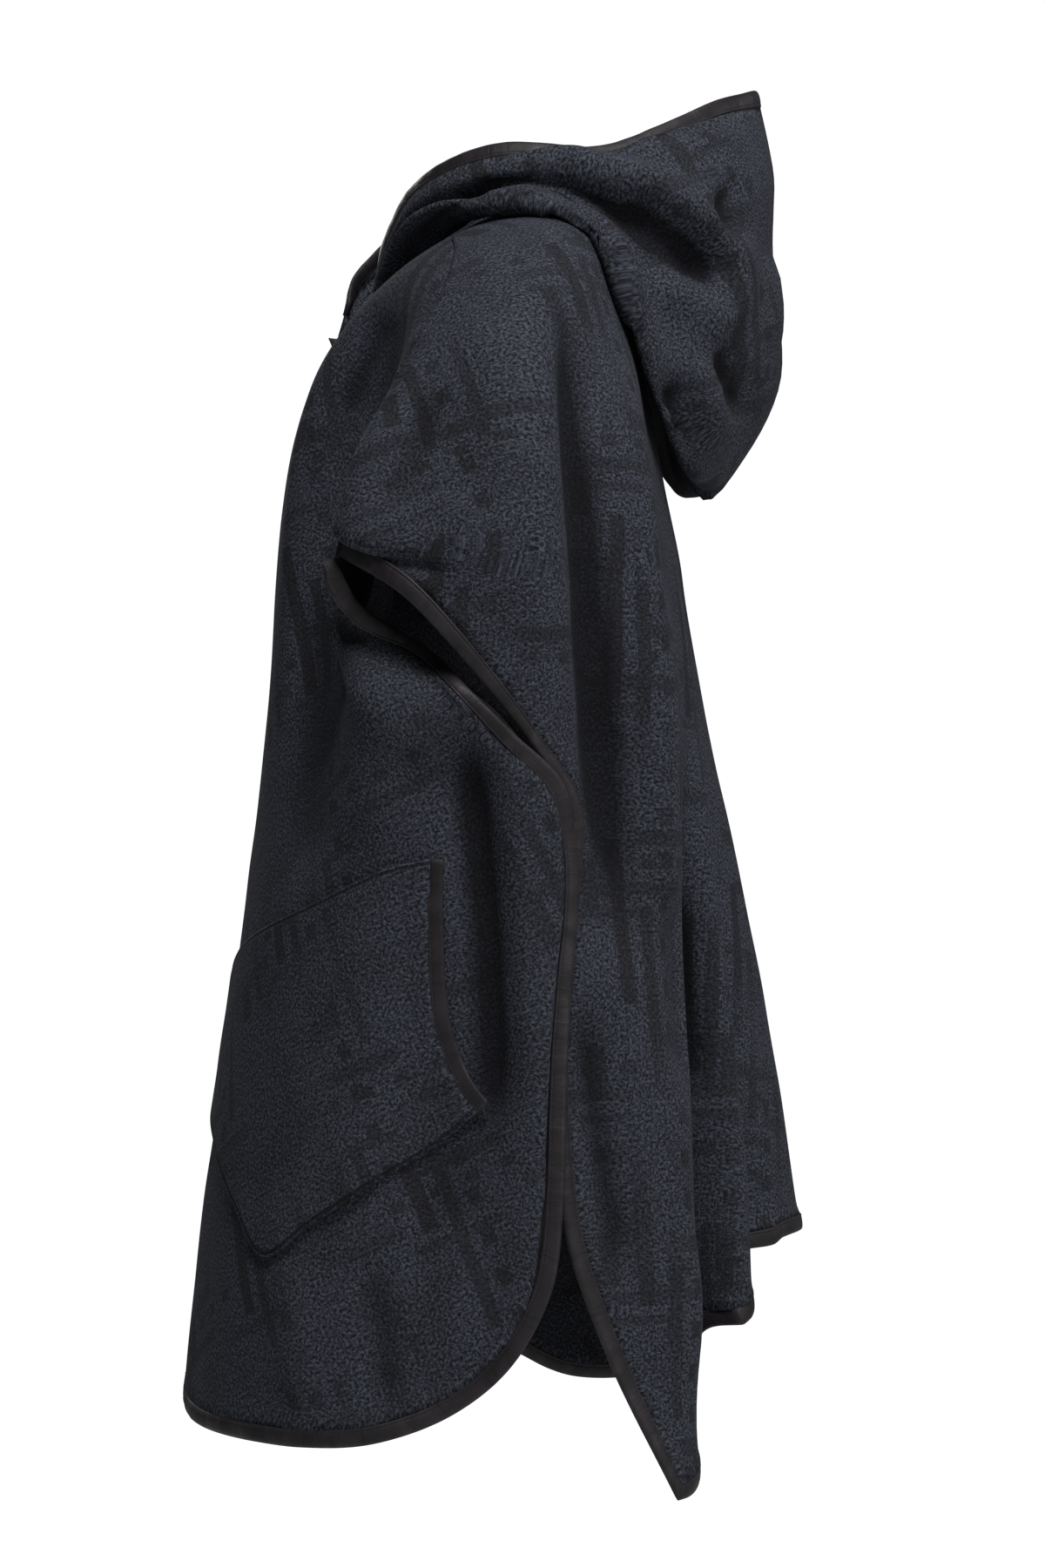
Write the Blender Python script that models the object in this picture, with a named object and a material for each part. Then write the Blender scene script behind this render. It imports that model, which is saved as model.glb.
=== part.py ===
# Hooded poncho vest, worn and hollow: two zipped fronts, one back with the sleeve drop in it,
# a hood lying down the back, patch pockets and satin binding on the edges.
# Metres. The garment faces -Y, its left side is +X, +Z is up.
# The origin lies between the shoulders at the base of the neck, where the garment is carried.
import math

import bmesh
import bpy
import numpy as np

# Cloth and trim
clothThick = 0.0026
bindThick = 0.0040
bindWide = 0.0115
seamGap = 0.0003
bindGap = 0.0010         # between a panel's edge and its binding
lapOut = 0.0065          # how far the front stands off the back where it laps over it
tipWide = 0.0040         # binding where it starts at the armhole's tip
closedWide = 0.0085      # binding where the armhole closes
zipHalf = 0.0050         # half the slot between the two centre-front edges
tapeThick = 0.0018
tapeHalf = 0.0150
tapeDeep = 0.0032        # from the middle of the front's cloth to the middle of the tape
tapeTopRow = 0.050
guardThick = 0.0022
pocketLift = 0.0009      # between the pocket and the front that it lies on
pocketGape = 0.0026      # how far the pocket's open side stands off besides
pocketBindThick = 0.0030

# Rings of the body from the neck to below the hem: height at front, side and back,
# half width, depth in front of and behind the axis, squareness of the front and the back half.
# The levels are neck, yoke, shoulder, upper arm, chest, armhole, under arm, waist, hip and hem.
ringTable = np.array([
    # zFront  zSide  zBack  half   front  back   squareF squareB
    (-0.055, 0.002, -0.005, 0.090, 0.105, 0.068, 2.0, 2.0),
    (-0.082, -0.012, -0.022, 0.142, 0.125, 0.080, 2.1, 2.1),
    (-0.116, -0.036, -0.052, 0.200, 0.150, 0.087, 2.2, 2.3),
    (-0.155, -0.088, -0.098, 0.252, 0.166, 0.088, 2.3, 2.4),
    (-0.225, -0.180, -0.185, 0.286, 0.176, 0.090, 2.5, 2.4),
    (-0.320, -0.300, -0.300, 0.296, 0.183, 0.102, 2.6, 2.2),
    (-0.410, -0.410, -0.410, 0.286, 0.192, 0.119, 2.7, 2.0),
    (-0.540, -0.540, -0.540, 0.280, 0.209, 0.140, 2.8, 1.9),
    (-0.680, -0.680, -0.680, 0.284, 0.229, 0.160, 2.8, 1.85),
    (-0.860, -0.860, -0.860, 0.296, 0.246, 0.186, 2.8, 1.85),
])
tipLevel = 4.45          # where the shoulder seam ends and the armhole begins
tipRow = 0.30            # the same place as a share of a panel's rows

# Edges of the panels, as angles from centre front: the row's level, then the angle
frontEdge = np.array([
    (0.0, 56.0), (1.0, 65.5), (1.9, 73.0), (2.4, 74.5), (3.0, 71.5), (3.8, 67.5), (4.45, 66.5), (4.6, 68.5),
    (4.8, 73.0), (5.05, 78.5), (5.34, 81.5), (5.65, 87.0), (5.85, 91.0), (6.1, 92.3), (7.0, 91.0),
    (9.0, 89.5),
])
backEdge = np.array([
    (0.0, 56.0), (1.0, 65.5), (1.9, 73.0), (2.4, 74.5), (3.0, 71.5), (3.8, 67.5), (4.45, 66.5), (4.52, 75.0),
    (4.66, 80.0), (4.86, 81.8), (5.25, 86.5), (5.62, 91.8), (5.9, 95.3), (6.2, 95.3), (6.6, 94.2),
    (7.5, 94.0),
])
# Below the split the back edges swing, the left one backwards and the right one forwards
ventSwing = {1: ((8.0, 96.2), (8.25, 99.4), (8.55, 103.6), (8.9, 108.6)),
             -1: ((8.0, 93.0), (8.25, 91.5), (8.55, 89.5), (8.9, 88.0))}
# Where the panels' inner columns run: smooth, without the steps that the edges make at the armhole
frontBase = np.array([(0.0, 56.0), (1.9, 71.0), (3.5, 73.0), (4.8, 76.0), (6.1, 88.0), (9.0, 89.5)])
backBase = np.array([(0.0, 56.0), (1.9, 73.0), (3.5, 77.0), (4.8, 82.0), (6.0, 92.0), (9.0, 98.0)])
# Degrees by which the sleeve's and the front's armhole edges hang further forward on each side
armholeShift = {1: (0.0, 0.0), -1: (-4.0, -1.5)}

# Folds of the body. side 1 is the wearer's left, -1 the right, 0 both. Levels: start, fullest, end.
# Angles at the first and the last level, half width in degrees, then how far out and back it moves.
foldTable = [
    # name, side, start, full, end, angleTop, angleLow, halfWidth, outward, backward
    ("pleat before the arm", 0, 1.5, 3.8, 6.6, 55, 54, 19, -0.030, 0.040),
    ("sleeve front", 0, 3.1, 4.45, 5.8, 74, 71, 15, 0.006, -0.050),
    ("sleeve swell", 0, 2.2, 4.6, 6.6, 88, 88, 15, 0.010, 0.000),
    ("behind the sleeve", 1, 2.0, 5.4, 8.0, 97, 100, 12, -0.022, 0.000),
    ("behind the sleeve, right", -1, 2.0, 5.0, 8.0, 99, 101, 13, -0.018, 0.000),
    ("front near the side", 1, 6.0, 7.6, 9.6, 80, 79, 9, -0.012, 0.000),
    ("front near the side, right", -1, 5.8, 7.8, 9.8, 78, 76, 10, -0.014, 0.000),
    ("first flute", 1, 3.6, 8.6, 14.0, 110, 111, 11, 0.012, 0.012),
    ("first hollow", 1, 4.0, 8.8, 14.0, 121, 122, 11, -0.048, -0.036),
    ("second flute", 1, 4.0, 8.6, 14.0, 133, 131, 11, 0.012, 0.004),
    ("second hollow", 1, 4.2, 8.6, 14.0, 150, 147, 14, -0.010, -0.050),
    ("first flute, right", -1, 3.8, 8.6, 14.0, 107, 104, 12, 0.012, 0.004),
    ("first hollow, right", -1, 4.4, 8.8, 14.0, 119, 118, 12, -0.046, -0.036),
    ("second flute, right", -1, 4.0, 8.6, 14.0, 134, 135, 13, 0.010, 0.004),
    ("second hollow, right", -1, 4.6, 8.6, 14.0, 153, 155, 15, -0.006, -0.040),
    ("centre flute", 0, 3.6, 8.0, 14.0, 180, 180, 20, 0.000, 0.018),
]
# The front's armhole edge falls inwards: levels, and how far in and back it moves at its deepest
armholeFall = {"start": 4.45, "full": 4.88, "end": 5.35, "inward": 0.042, "backward": 0.000, "from": 0.62}

# Hems, as heights
frontHemLow = -0.789
frontHemCentre = -0.779
ventCorner = 0.150       # radius of the front's round corner at the vent
# The back's hem from its left edge to its right edge: share of the way, then height
backHem = np.array([
    (0.0, -0.817), (0.04, -0.813), (0.09, -0.789), (0.13, -0.756), (0.17, -0.724), (0.24, -0.705),
    (0.34, -0.688),
    (0.50, -0.678), (0.66, -0.688), (0.76, -0.706), (0.83, -0.735), (0.88, -0.785), (0.93, -0.817),
    (0.97, -0.817),
    (1.0, -0.805),
])

# Hood: one row for each place round the neck, left half. angle: degrees from centre front.
# Then distance from the neck's axis and height of the points that the cloth passes: over the
# shoulder or down the back, the fold it rolls on, the swell above, the crease, the belly and the rim.
hoodAxisY = -0.010
hoodStops = np.array([0.0, 0.14, 0.34, 0.50, 0.66, 0.84, 1.0])
hoodTable = np.array([
    # angle  overR  overZ   rollR  rollZ  swellR swellZ creaseR creaseZ bellyR bellyZ  rimR   rimZ
    (11.0, 0.103, -0.057, 0.105, -0.057, 0.106, -0.056, 0.106, -0.055, 0.106, -0.053, 0.105, -0.052),
    (31.0, 0.104, -0.037, 0.112, -0.036, 0.112, -0.033, 0.108, -0.029, 0.110, -0.025, 0.109, -0.020),
    (52.0, 0.110, -0.014, 0.124, -0.010, 0.124, -0.005, 0.116, -0.003, 0.121, 0.003, 0.117, 0.011),
    (84.0, 0.124, 0.002, 0.143, 0.000, 0.143, 0.008, 0.129, 0.009, 0.138, 0.016, 0.132, 0.028),
    (104.0, 0.128, 0.000, 0.156, -0.024, 0.158, -0.010, 0.143, -0.002, 0.149, 0.011, 0.136, 0.027),
    (114.0, 0.132, -0.018, 0.166, -0.086, 0.172, -0.056, 0.158, -0.022, 0.158, 0.010, 0.138, 0.030),
    (123.0, 0.132, -0.044, 0.170, -0.145, 0.184, -0.100, 0.172, -0.036, 0.166, 0.013, 0.140, 0.037),
    (138.0, 0.118, -0.066, 0.153, -0.178, 0.188, -0.108, 0.176, -0.032, 0.170, 0.020, 0.142, 0.051),
    (158.0, 0.106, -0.076, 0.135, -0.184, 0.179, -0.106, 0.171, -0.024, 0.171, 0.026, 0.151, 0.069),
    (180.0, 0.104, -0.076, 0.129, -0.183, 0.175, -0.104, 0.169, -0.018, 0.170, 0.034, 0.161, 0.080),
])
hoodLift = 0.0038        # the hood's cloth above the body's, middle to middle, at the neck seam
hoodClear = 0.0142       # and further out
throatCurl = {1: 0.000, -1: 0.025}   # how far each hood half's lower front corner curls forward

# Pocket patch on the front, as shares of the front's width: its top and its lower seam's height
pocketTable = np.array([
    # share  topZ   lowZ
    (0.165, -0.517, -0.600),
    (0.340, -0.497, -0.621),
    (0.460, -0.485, -0.648),
    (0.5775, -0.471, -0.684),
    (0.660, -0.458, -0.664),
    (0.765, -0.438, -0.636),
    (0.840, -0.430, -0.615),
    (0.902, -0.430, -0.594),
])
# Its curved open side: height, then share of the front's width
pocketMouth = np.array([
    (-0.430, 0.816), (-0.460, 0.816), (-0.488, 0.820), (-0.520, 0.832), (-0.546, 0.851), (-0.567, 0.870),
    (-0.594, 0.902),
])

# Slider and pull tab, in the slider's own frame: x across, out from the zip, up along it
sliderUp = -0.084
sliderOut = 0.0002       # its middle from the middle of the fronts' cloth
sliderSize = {"wide": 0.0086, "narrow": 0.0060, "thick": 0.0040, "long": 0.0150}
bridge = {"wide": 0.0016, "long": 0.0080, "foot": 0.0014, "hole": 0.0016, "bar": 0.0011}
pull = {"bar": 0.0009, "window": 0.0026, "reach": 0.0050, "rim": 0.0010, "half": 0.0033, "long": 0.0230}
pullRise = 0.0008        # the pull's axis above the slider's face
# Guard beside the zip: height where it is sewn, how far it stands out and how far it leans over
guardX = -0.0090
guardTable = [(-0.086, 0.019, 0.004), (-0.096, 0.014, 0.003), (-0.106, 0.009, 0.002), (-0.117, 0.004, 0.000)]

colours = {
    "knit": (0.020, 0.024, 0.032, 1.0),
    "satin": (0.055, 0.049, 0.054, 1.0),
    "tape": (0.016, 0.016, 0.019, 1.0),
    "metal": (0.42, 0.42, 0.44, 1.0),
}


def curveThrough(xs, ys, x):
    # Smooth curve through a table's points
    xs = np.asarray(xs, float)
    ys = np.asarray(ys, float)
    step = np.diff(xs)
    rise = np.diff(ys) / step
    slope = np.empty_like(ys)
    slope[1:-1] = (rise[:-1] * step[1:] + rise[1:] * step[:-1]) / (step[:-1] + step[1:])
    slope[0] = rise[0]
    slope[-1] = rise[-1]
    x = np.clip(x, xs[0], xs[-1])
    k = np.clip(np.searchsorted(xs, x, side="right") - 1, 0, len(xs) - 2)
    t = (x - xs[k]) / step[k]
    low = (2 * t ** 3 - 3 * t ** 2 + 1) * ys[k] + (t ** 3 - 2 * t ** 2 + t) * step[k] * slope[k]
    high = (3 * t ** 2 - 2 * t ** 3) * ys[k + 1] + (t ** 3 - t ** 2) * step[k] * slope[k + 1]
    return low + high


def ease(x):
    x = np.clip(x, 0.0, 1.0)
    return x * x * (3.0 - 2.0 * x)


def foldedAngle(angle):
    # An angle round the body as its side, 1 or -1, and 0 to 180 degrees from centre front
    turned = (np.asarray(angle, float) + 180.0) % 360.0 - 180.0
    return np.where(turned >= 0.0, 1.0, -1.0), np.abs(turned)


def ringValues(level):
    places = np.arange(len(ringTable))
    return [curveThrough(places, ringTable[:, k], level) for k in range(ringTable.shape[1])]


def ringHeight(angle, level):
    spread = np.radians(foldedAngle(angle)[1])
    zFront, zSide, zBack = ringValues(level)[:3]
    ahead = np.clip(np.cos(spread), 0.0, 1.0) ** 2
    behind = np.clip(-np.cos(spread), 0.0, 1.0) ** 2
    return zFront * ahead + zBack * behind + zSide * np.sin(spread) ** 2


def levelAtHeight(angle, height):
    # The level at which the body's surface reaches a height
    fine = np.linspace(0.0, len(ringTable) - 1.0, 400)
    angle = np.atleast_1d(np.asarray(angle, float))
    height = np.broadcast_to(height, angle.shape)
    found = [np.interp(-z, -ringHeight(np.full(fine.shape, a), fine), fine) for a, z in zip(angle, height)]
    return np.array(found)


def bodyPoint(angle, level):
    # The middle of the cloth at an angle round the body and a level down it
    angle = np.asarray(angle, float)
    level = np.asarray(level, float)
    side, spread = foldedAngle(angle)
    half, front, back, squareF, squareB = ringValues(level)[3:]
    radians = np.radians(spread)
    ahead = np.cos(radians) >= 0.0
    depth = np.where(ahead, front, back)
    power = np.where(ahead, squareF, squareB)
    sideways = (np.abs(np.sin(radians)) / half) ** power
    forward = (np.abs(np.cos(radians)) / depth) ** power
    radius = (sideways + forward) ** (-1.0 / power)
    x = radius * np.sin(radians)
    y = -radius * np.cos(radians)
    for name, foldSide, start, full, end, angleTop, angleLow, halfWidth, outward, backward in foldTable:
        along = np.clip((level - start) / (end - start), 0.0, 1.0)
        centre = angleTop + (angleLow - angleTop) * along
        strength = np.where(level < full, ease((level - start) / (full - start)),
                            1.0 - ease((level - full) / (end - full)))
        reach = np.clip(np.abs(spread - centre) / halfWidth, 0.0, 1.0)
        swell = strength * np.cos(reach * math.pi / 2.0) ** 2
        if foldSide:
            swell = np.where(side == foldSide, swell, 0.0)
        x = x + outward * swell
        y = y + backward * swell
    return np.stack([side * x, y, ringHeight(angle, level)], axis=-1)


def outwardNormal(surface, u, v):
    # Unit normals of a surface, all turned together so that they point away from the body's axis
    small = 1e-4
    across = surface(u + small, v) - surface(u - small, v)
    down = surface(u, v + small) - surface(u, v - small)
    normal = np.cross(across, down)
    normal /= np.maximum(np.linalg.norm(normal, axis=-1, keepdims=True), 1e-12)
    away = np.sum(normal[..., :2] * surface(u, v)[..., :2])
    return normal * (1.0 if away >= 0.0 else -1.0)


def gapAngle(level):
    # Half a seam's gap as an angle, at a level's size
    values = ringValues(level)
    return np.degrees(0.5 * seamGap * 2.5 / np.minimum(values[3], values[4]))


def levelOfRow(row, hemLevel):
    upper = tipLevel * row / tipRow
    lower = tipLevel + (hemLevel - tipLevel) * (row - tipRow) / (1.0 - tipRow)
    return np.where(row < tipRow, upper, lower)


def frontHemHeight(share):
    # Height of a front's hem at a share of the way from centre front to its side edge
    width = 0.40
    height = frontHemCentre + (frontHemLow - frontHemCentre) * ease(share / 0.4)
    inside = np.clip((1.0 - share) * width / ventCorner, 0.0, 1.0)
    return height + ventCorner * (1.0 - np.clip(1.0 - (1.0 - inside) ** 2.5, 0.0, 1.0) ** (1 / 2.5))


def armholeBump(level):
    return ease((level - tipLevel) / 0.15) * (1.0 - ease((level - 4.75) / 0.5))


def frontSurface(side):
    # A front as a surface: u from its zip edge to its side edge, v from the neck to the hem
    knots = np.linspace(0.0, 1.0, 161)
    middle = side * (10.0 + 80.0 * knots)
    hemLevels = levelAtHeight(middle, frontHemHeight(knots))

    def surface(u, v):
        level = levelOfRow(v, np.interp(u, knots, hemLevels))
        point = bodyPoint(side * frontAngle(side, u, level), level)
        near = ease((u - armholeFall["from"]) / (1.0 - armholeFall["from"]))
        rise = ease((level - armholeFall["start"]) / (armholeFall["full"] - armholeFall["start"]))
        fade = 1.0 - ease((level - armholeFall["full"]) / (armholeFall["end"] - armholeFall["full"]))
        lap = ease((u - 0.86) / 0.14) * ease((level - 4.95) / 0.32)
        point[..., 0] += side * (lap * lapOut - near * np.minimum(rise, fade) * armholeFall["inward"])
        return point

    return surface


def frontSpan(side, level):
    # A front's angles at a level: beside the zip, where its columns head for, and at its outer edge
    edge = curveThrough(frontEdge[:, 0], frontEdge[:, 1], level)
    edge = edge + armholeShift[side][1] * armholeBump(level) - gapAngle(level) * (level <= tipLevel + 0.01)
    inner = np.degrees(np.arctan2(zipHalf, ringValues(level)[4]))
    return inner, curveThrough(frontBase[:, 0], frontBase[:, 1], level), edge


def frontAngle(side, u, level):
    inner, base, edge = frontSpan(side, level)
    return inner + (base - inner) * u + (edge - base) * ease((u - 0.4) / 0.6)


def frontRow(side, u, height):
    # The row of a front, as its v, at which its column u reaches a height below the armhole
    knots = np.linspace(0.0, 1.0, 161)
    hemLevels = levelAtHeight(side * (10.0 + 80.0 * knots), frontHemHeight(knots))
    level = np.interp(-height, -ringTable[6:, 1], np.arange(6, len(ringTable)))
    return tipRow + (level - tipLevel) / (np.interp(u, knots, hemLevels) - tipLevel) * (1.0 - tipRow)


def backSurface(u, v):
    # The back as a surface: u from its left edge round to its right edge, v from the neck to the hem
    level = levelOfRow(v, np.interp(u, backKnots, backHemLevels))
    base = curveThrough(backBase[:, 0], backBase[:, 1], level)
    angle = base + (360.0 - 2.0 * base) * u
    for side in (1, -1):
        rows = np.vstack([backEdge, ventSwing[side]])
        edge = curveThrough(rows[:, 0], rows[:, 1], level) + gapAngle(level) * (level <= tipLevel + 0.01)
        edge = edge + armholeShift[side][0] * armholeBump(level)
        fromEdge = u if side == 1 else 1.0 - u
        angle = angle + side * (edge - base) * ease(1.0 - fromEdge / 0.3)
    return bodyPoint(angle, level)


backKnots = np.linspace(0.0, 1.0, 241)
backHemHeights = curveThrough(backHem[:, 0], backHem[:, 1], backKnots)
backHemLevels = levelAtHeight(105.0 + 150.0 * backKnots, backHemHeights)


def hoodSurface(side):
    # Half the hood: u from the throat to the back seam, v from the neck seam to the rim
    knots = np.linspace(0.0, 1.0, len(hoodTable))

    def surface(u, v):
        values = [curveThrough(knots, hoodTable[:, k], u) for k in range(hoodTable.shape[1])]
        angle = np.radians(values[0])
        ring = neckRing(values[0])
        seamR = np.hypot(ring[..., 0], ring[..., 1] - hoodAxisY)
        radius = curveAcross(hoodStops, np.stack([seamR] + values[1::2]), v)
        height = curveAcross(hoodStops, np.stack([ring[..., 2]] + values[2::2]), v)
        curl = throatCurl[side] * ease(1.0 - u / 0.28) * ease(v / 0.8)
        x = radius * np.sin(angle) + seamGap * 0.6 * ease((values[0] - 160.0) / 20.0)
        y = hoodAxisY - radius * np.cos(angle) - curl
        point = np.stack([side * x, y, height - 0.5 * curl], axis=-1)
        return restOnBody(point, hoodLift + (hoodClear - hoodLift) * ease(v / 0.16) * ease((u - 0.15) / 0.2))

    return surface


def restOnBody(point, clear):
    # Moves points outwards until they lie at least this far from the middle of the body's cloth
    places, normals = bodySamples
    mirrored = np.sign(np.sum(point[..., 0]) or 1.0)
    here = point * np.array([mirrored, 1.0, 1.0])
    nearest = np.array([int(np.argmin(np.sum((places - spot) ** 2, axis=1))) for spot in here])
    apart = np.sum((here - places[nearest]) * normals[nearest], axis=1)
    here = here + normals[nearest] * np.maximum(clear - apart, 0.0)[:, None]
    return here * np.array([mirrored, 1.0, 1.0])


def sampleBody():
    # Points and normals of the left half of the body above the armhole
    angle, level = np.meshgrid(np.linspace(2.0, 180.0, 150), np.linspace(0.0, 5.0, 130))

    def plain(u, v):
        return bodyPoint(u * 100.0, v)

    place = bodyPoint(angle.ravel(), level.ravel())
    return place, outwardNormal(plain, angle.ravel() / 100.0, level.ravel())


def neckRing(angle):
    # The hood's lower edge: on the outside of the body's cloth, at its neck edge
    angle = np.asarray(angle, float)

    def plain(u, v):
        return bodyPoint(u * 100.0, v)

    level = np.full(angle.shape, 0.02)
    return bodyPoint(angle, level) + outwardNormal(plain, angle / 100.0, level) * hoodLift


def curveAcross(stops, rows, v):
    # Like curveThrough, with a table of its own for each point: rows holds one array for each stop
    step = np.diff(stops)
    rise = np.diff(rows, axis=0) / step[:, None]
    slope = np.empty_like(rows)
    slope[1:-1] = (rise[:-1] * step[1:, None] + rise[1:] * step[:-1, None]) / (step[:-1] + step[1:])[:, None]
    slope[0] = rise[0]
    slope[-1] = rise[-1]
    v = np.clip(v, 0.0, 1.0)
    k = np.clip(np.searchsorted(stops, v, side="right") - 1, 0, len(stops) - 2)
    t = (v - stops[k]) / step[k]
    here = np.arange(len(v))
    low = (2 * t ** 3 - 3 * t ** 2 + 1) * rows[k, here] + (t ** 3 - 2 * t ** 2 + t) * step[k] * slope[k, here]
    high = (3 * t ** 2 - 2 * t ** 3) * rows[k + 1, here] + (t ** 3 - t ** 2) * step[k] * slope[k + 1, here]
    return low + high


def addMaterial(name, kind):
    material = bpy.data.materials.new(name)
    material.use_nodes = True
    shader = material.node_tree.nodes["Principled BSDF"]
    shader.inputs["Base Color"].default_value = colours[kind]
    shader.inputs["Roughness"].default_value = {"knit": 0.95, "satin": 0.45, "tape": 0.8, "metal": 0.3}[kind]
    shader.inputs["Metallic"].default_value = 1.0 if kind == "metal" else 0.0
    material.diffuse_color = colours[kind]
    return material


def addObject(name, bm, kind):
    mesh = bpy.data.meshes.new(name)
    bm.to_mesh(mesh)
    bm.free()
    mesh.materials.append(addMaterial(name, kind))
    thing = bpy.data.objects.new(name, mesh)
    bpy.context.scene.collection.objects.link(thing)
    return thing


def addWall(name, outer, inner, kind):
    # A closed wall between two grids of points, shaped rows x columns x 3
    rows, columns = outer.shape[:2]
    bm = bmesh.new()
    bmesh.ops.create_grid(bm, x_segments=columns - 1, y_segments=rows - 1, size=1.0)
    made = bmesh.ops.extrude_face_region(bm, geom=list(bm.faces))
    copies = {vert for vert in made["geom"] if isinstance(vert, bmesh.types.BMVert)}
    for vert in bm.verts:
        column = round((vert.co.x + 1.0) * 0.5 * (columns - 1))
        row = round((vert.co.y + 1.0) * 0.5 * (rows - 1))
        layer = inner if vert in copies else outer
        vert.co = layer[row, column]
    bmesh.ops.recalc_face_normals(bm, faces=bm.faces)
    if bm.calc_volume(signed=True) < 0.0:
        bmesh.ops.reverse_faces(bm, faces=bm.faces)
    return addObject(name, bm, kind)


def clothWall(name, surface, across, down, thick, kind):
    # A wall of cloth on a surface, at grid lines across and down
    u, v = np.meshgrid(across, down)
    middle = surface(u.ravel(), v.ravel())
    normal = outwardNormal(surface, u.ravel(), v.ravel())
    atCentre = np.abs(middle[:, 0]) < 0.001
    normal[atCentre, 0] = 0.0
    normal /= np.linalg.norm(normal, axis=1, keepdims=True)
    half = (normal * thick / 2).reshape(u.shape + (3,))
    middle = middle.reshape(u.shape + (3,))
    return addWall(name, middle + half, middle - half, kind)


def edgeRun(surface, stations):
    # Points, normals and points a little inside a panel's edge, along a run of (u, v) stations
    u = np.array([station[0] for station in stations])
    v = np.array([station[1] for station in stations])
    step = 0.01
    inside = surface(u - step * (u > 0.999) + step * (u < 0.001), v - step * (v > 0.999) + step * (v < 0.001))
    return surface(u, v), outwardNormal(surface, u, v), inside


def bindingWall(name, run, thick, wide):
    # A strip of binding beyond a panel's edge; wide may differ from point to point
    edge, normal, inside = run
    step = np.diff(edge, axis=0)
    step /= np.linalg.norm(step, axis=1, keepdims=True)
    before = np.vstack([step[:1], step])
    after = np.vstack([step, step[-1:]])
    along = before + after
    along /= np.linalg.norm(along, axis=1, keepdims=True)
    mitre = 1.0 / np.maximum(np.sum(along * before, axis=1, keepdims=True), 0.6)
    out = np.cross(normal, along)
    out /= np.linalg.norm(out, axis=1, keepdims=True)
    out *= np.sign(np.sum(out * (edge - inside), axis=1, keepdims=True)) * mitre
    reach = np.stack([np.full(len(edge), bindGap), bindGap + np.broadcast_to(wide, len(edge))], axis=1)
    middle = edge[:, None, :] + out[:, None, :] * reach[:, :, None]
    away = np.repeat(normal[:, None, :], 2, axis=1)
    return addWall(name, middle + away * thick / 2, middle - away * thick / 2, "satin")


def startPastTip(run, atEnd=False):
    # Moves a run's first point, or its last, an eighth of the way along, clear of the armhole's tip
    first, second = (-1, -2) if atEnd else (0, 1)
    for points in run:
        points[first] += (points[second] - points[first]) * 0.125
    return run


def bindingWidth(rows, count):
    # Width of a binding that starts at the armhole's tip: it turns under where the armhole closes
    level = levelOfRow(np.array(rows), 8.8)
    wide = np.full(count, bindWide)
    wide[:len(rows)] -= (bindWide - closedWide) * np.exp(-((level - 5.55) / 0.45) ** 2)
    wide[0] = tipWide
    return wide


def panelRows(upper, lower):
    # Row places of a panel: the same above the armhole on every panel, so that seams meet
    below = tipRow + (1.0 - tipRow) * np.linspace(0.0, 1.0, lower) ** 1.25
    return np.concatenate([np.linspace(0.0, tipRow, upper), below[1:]])


def cornerColumns(count, corner, near):
    # Column places that crowd towards a round corner at 1
    coarse = np.linspace(0.0, 1.0 - corner, count)
    fine = 1.0 - corner * (1.0 - np.sin(np.linspace(0.0, math.pi / 2, near)[1:]))
    return np.concatenate([coarse, fine])


bodySamples = sampleBody()
frontColumns = cornerColumns(9, 0.34, 6)
frontRows = panelRows(8, 13)


def buildFronts():
    for side, word in ((1, "left"), (-1, "right")):
        surface = frontSurface(side)
        clothWall("front_" + word, surface, frontColumns, frontRows, clothThick, "knit")
        free = [v for v in frontRows if v >= tipRow - 1e-9]
        stations = [(1.0, v) for v in free] + [(u, 1.0) for u in frontColumns[-2::-1]]
        wide = bindingWidth(free, len(stations))
        bindingWall("front_binding_" + word, startPastTip(edgeRun(surface, stations)), bindThick, wide)


def buildBack():
    half = cornerColumns(17, 0.11, 5)
    columns = np.concatenate([0.5 - 0.5 * half[::-1], 0.5 + 0.5 * half[1:]])
    rows = frontRows
    clothWall("back_panel", backSurface, columns, rows, clothThick, "knit")
    free = [v for v in rows if v >= tipRow - 1e-9]
    stations = [(0.0, v) for v in free] + [(u, 1.0) for u in columns[1:-1]] + [(1.0, v) for v in free[::-1]]
    wide = np.minimum(bindingWidth(free, len(stations)), bindingWidth(free, len(stations))[::-1])
    run = startPastTip(startPastTip(edgeRun(backSurface, stations)), atEnd=True)
    bindingWall("back_binding", run, bindThick, wide)


def buildHood():
    columns = np.linspace(0.0, 1.0, 16)
    rows = np.array([0.0, 0.035, 0.07, 0.105, 0.14, 0.20, 0.27, 0.34, 0.42,
                     0.50, 0.58, 0.66, 0.75, 0.84, 0.92, 1.0])
    runs = {}
    for side, word in ((1, "left"), (-1, "right")):
        surface = hoodSurface(side)
        clothWall("hood_" + word, surface, columns, rows, clothThick, "knit")
        runs[side] = edgeRun(surface, [(max(u, 0.03), 1.0) for u in columns])
    joined = [np.concatenate([left[:-1], [(left[-1] + right[-1]) / 2], right[-2::-1]])
              for left, right in zip(runs[1], runs[-1])]
    bindingWall("hood_binding", joined, bindThick, bindWide)


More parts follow.
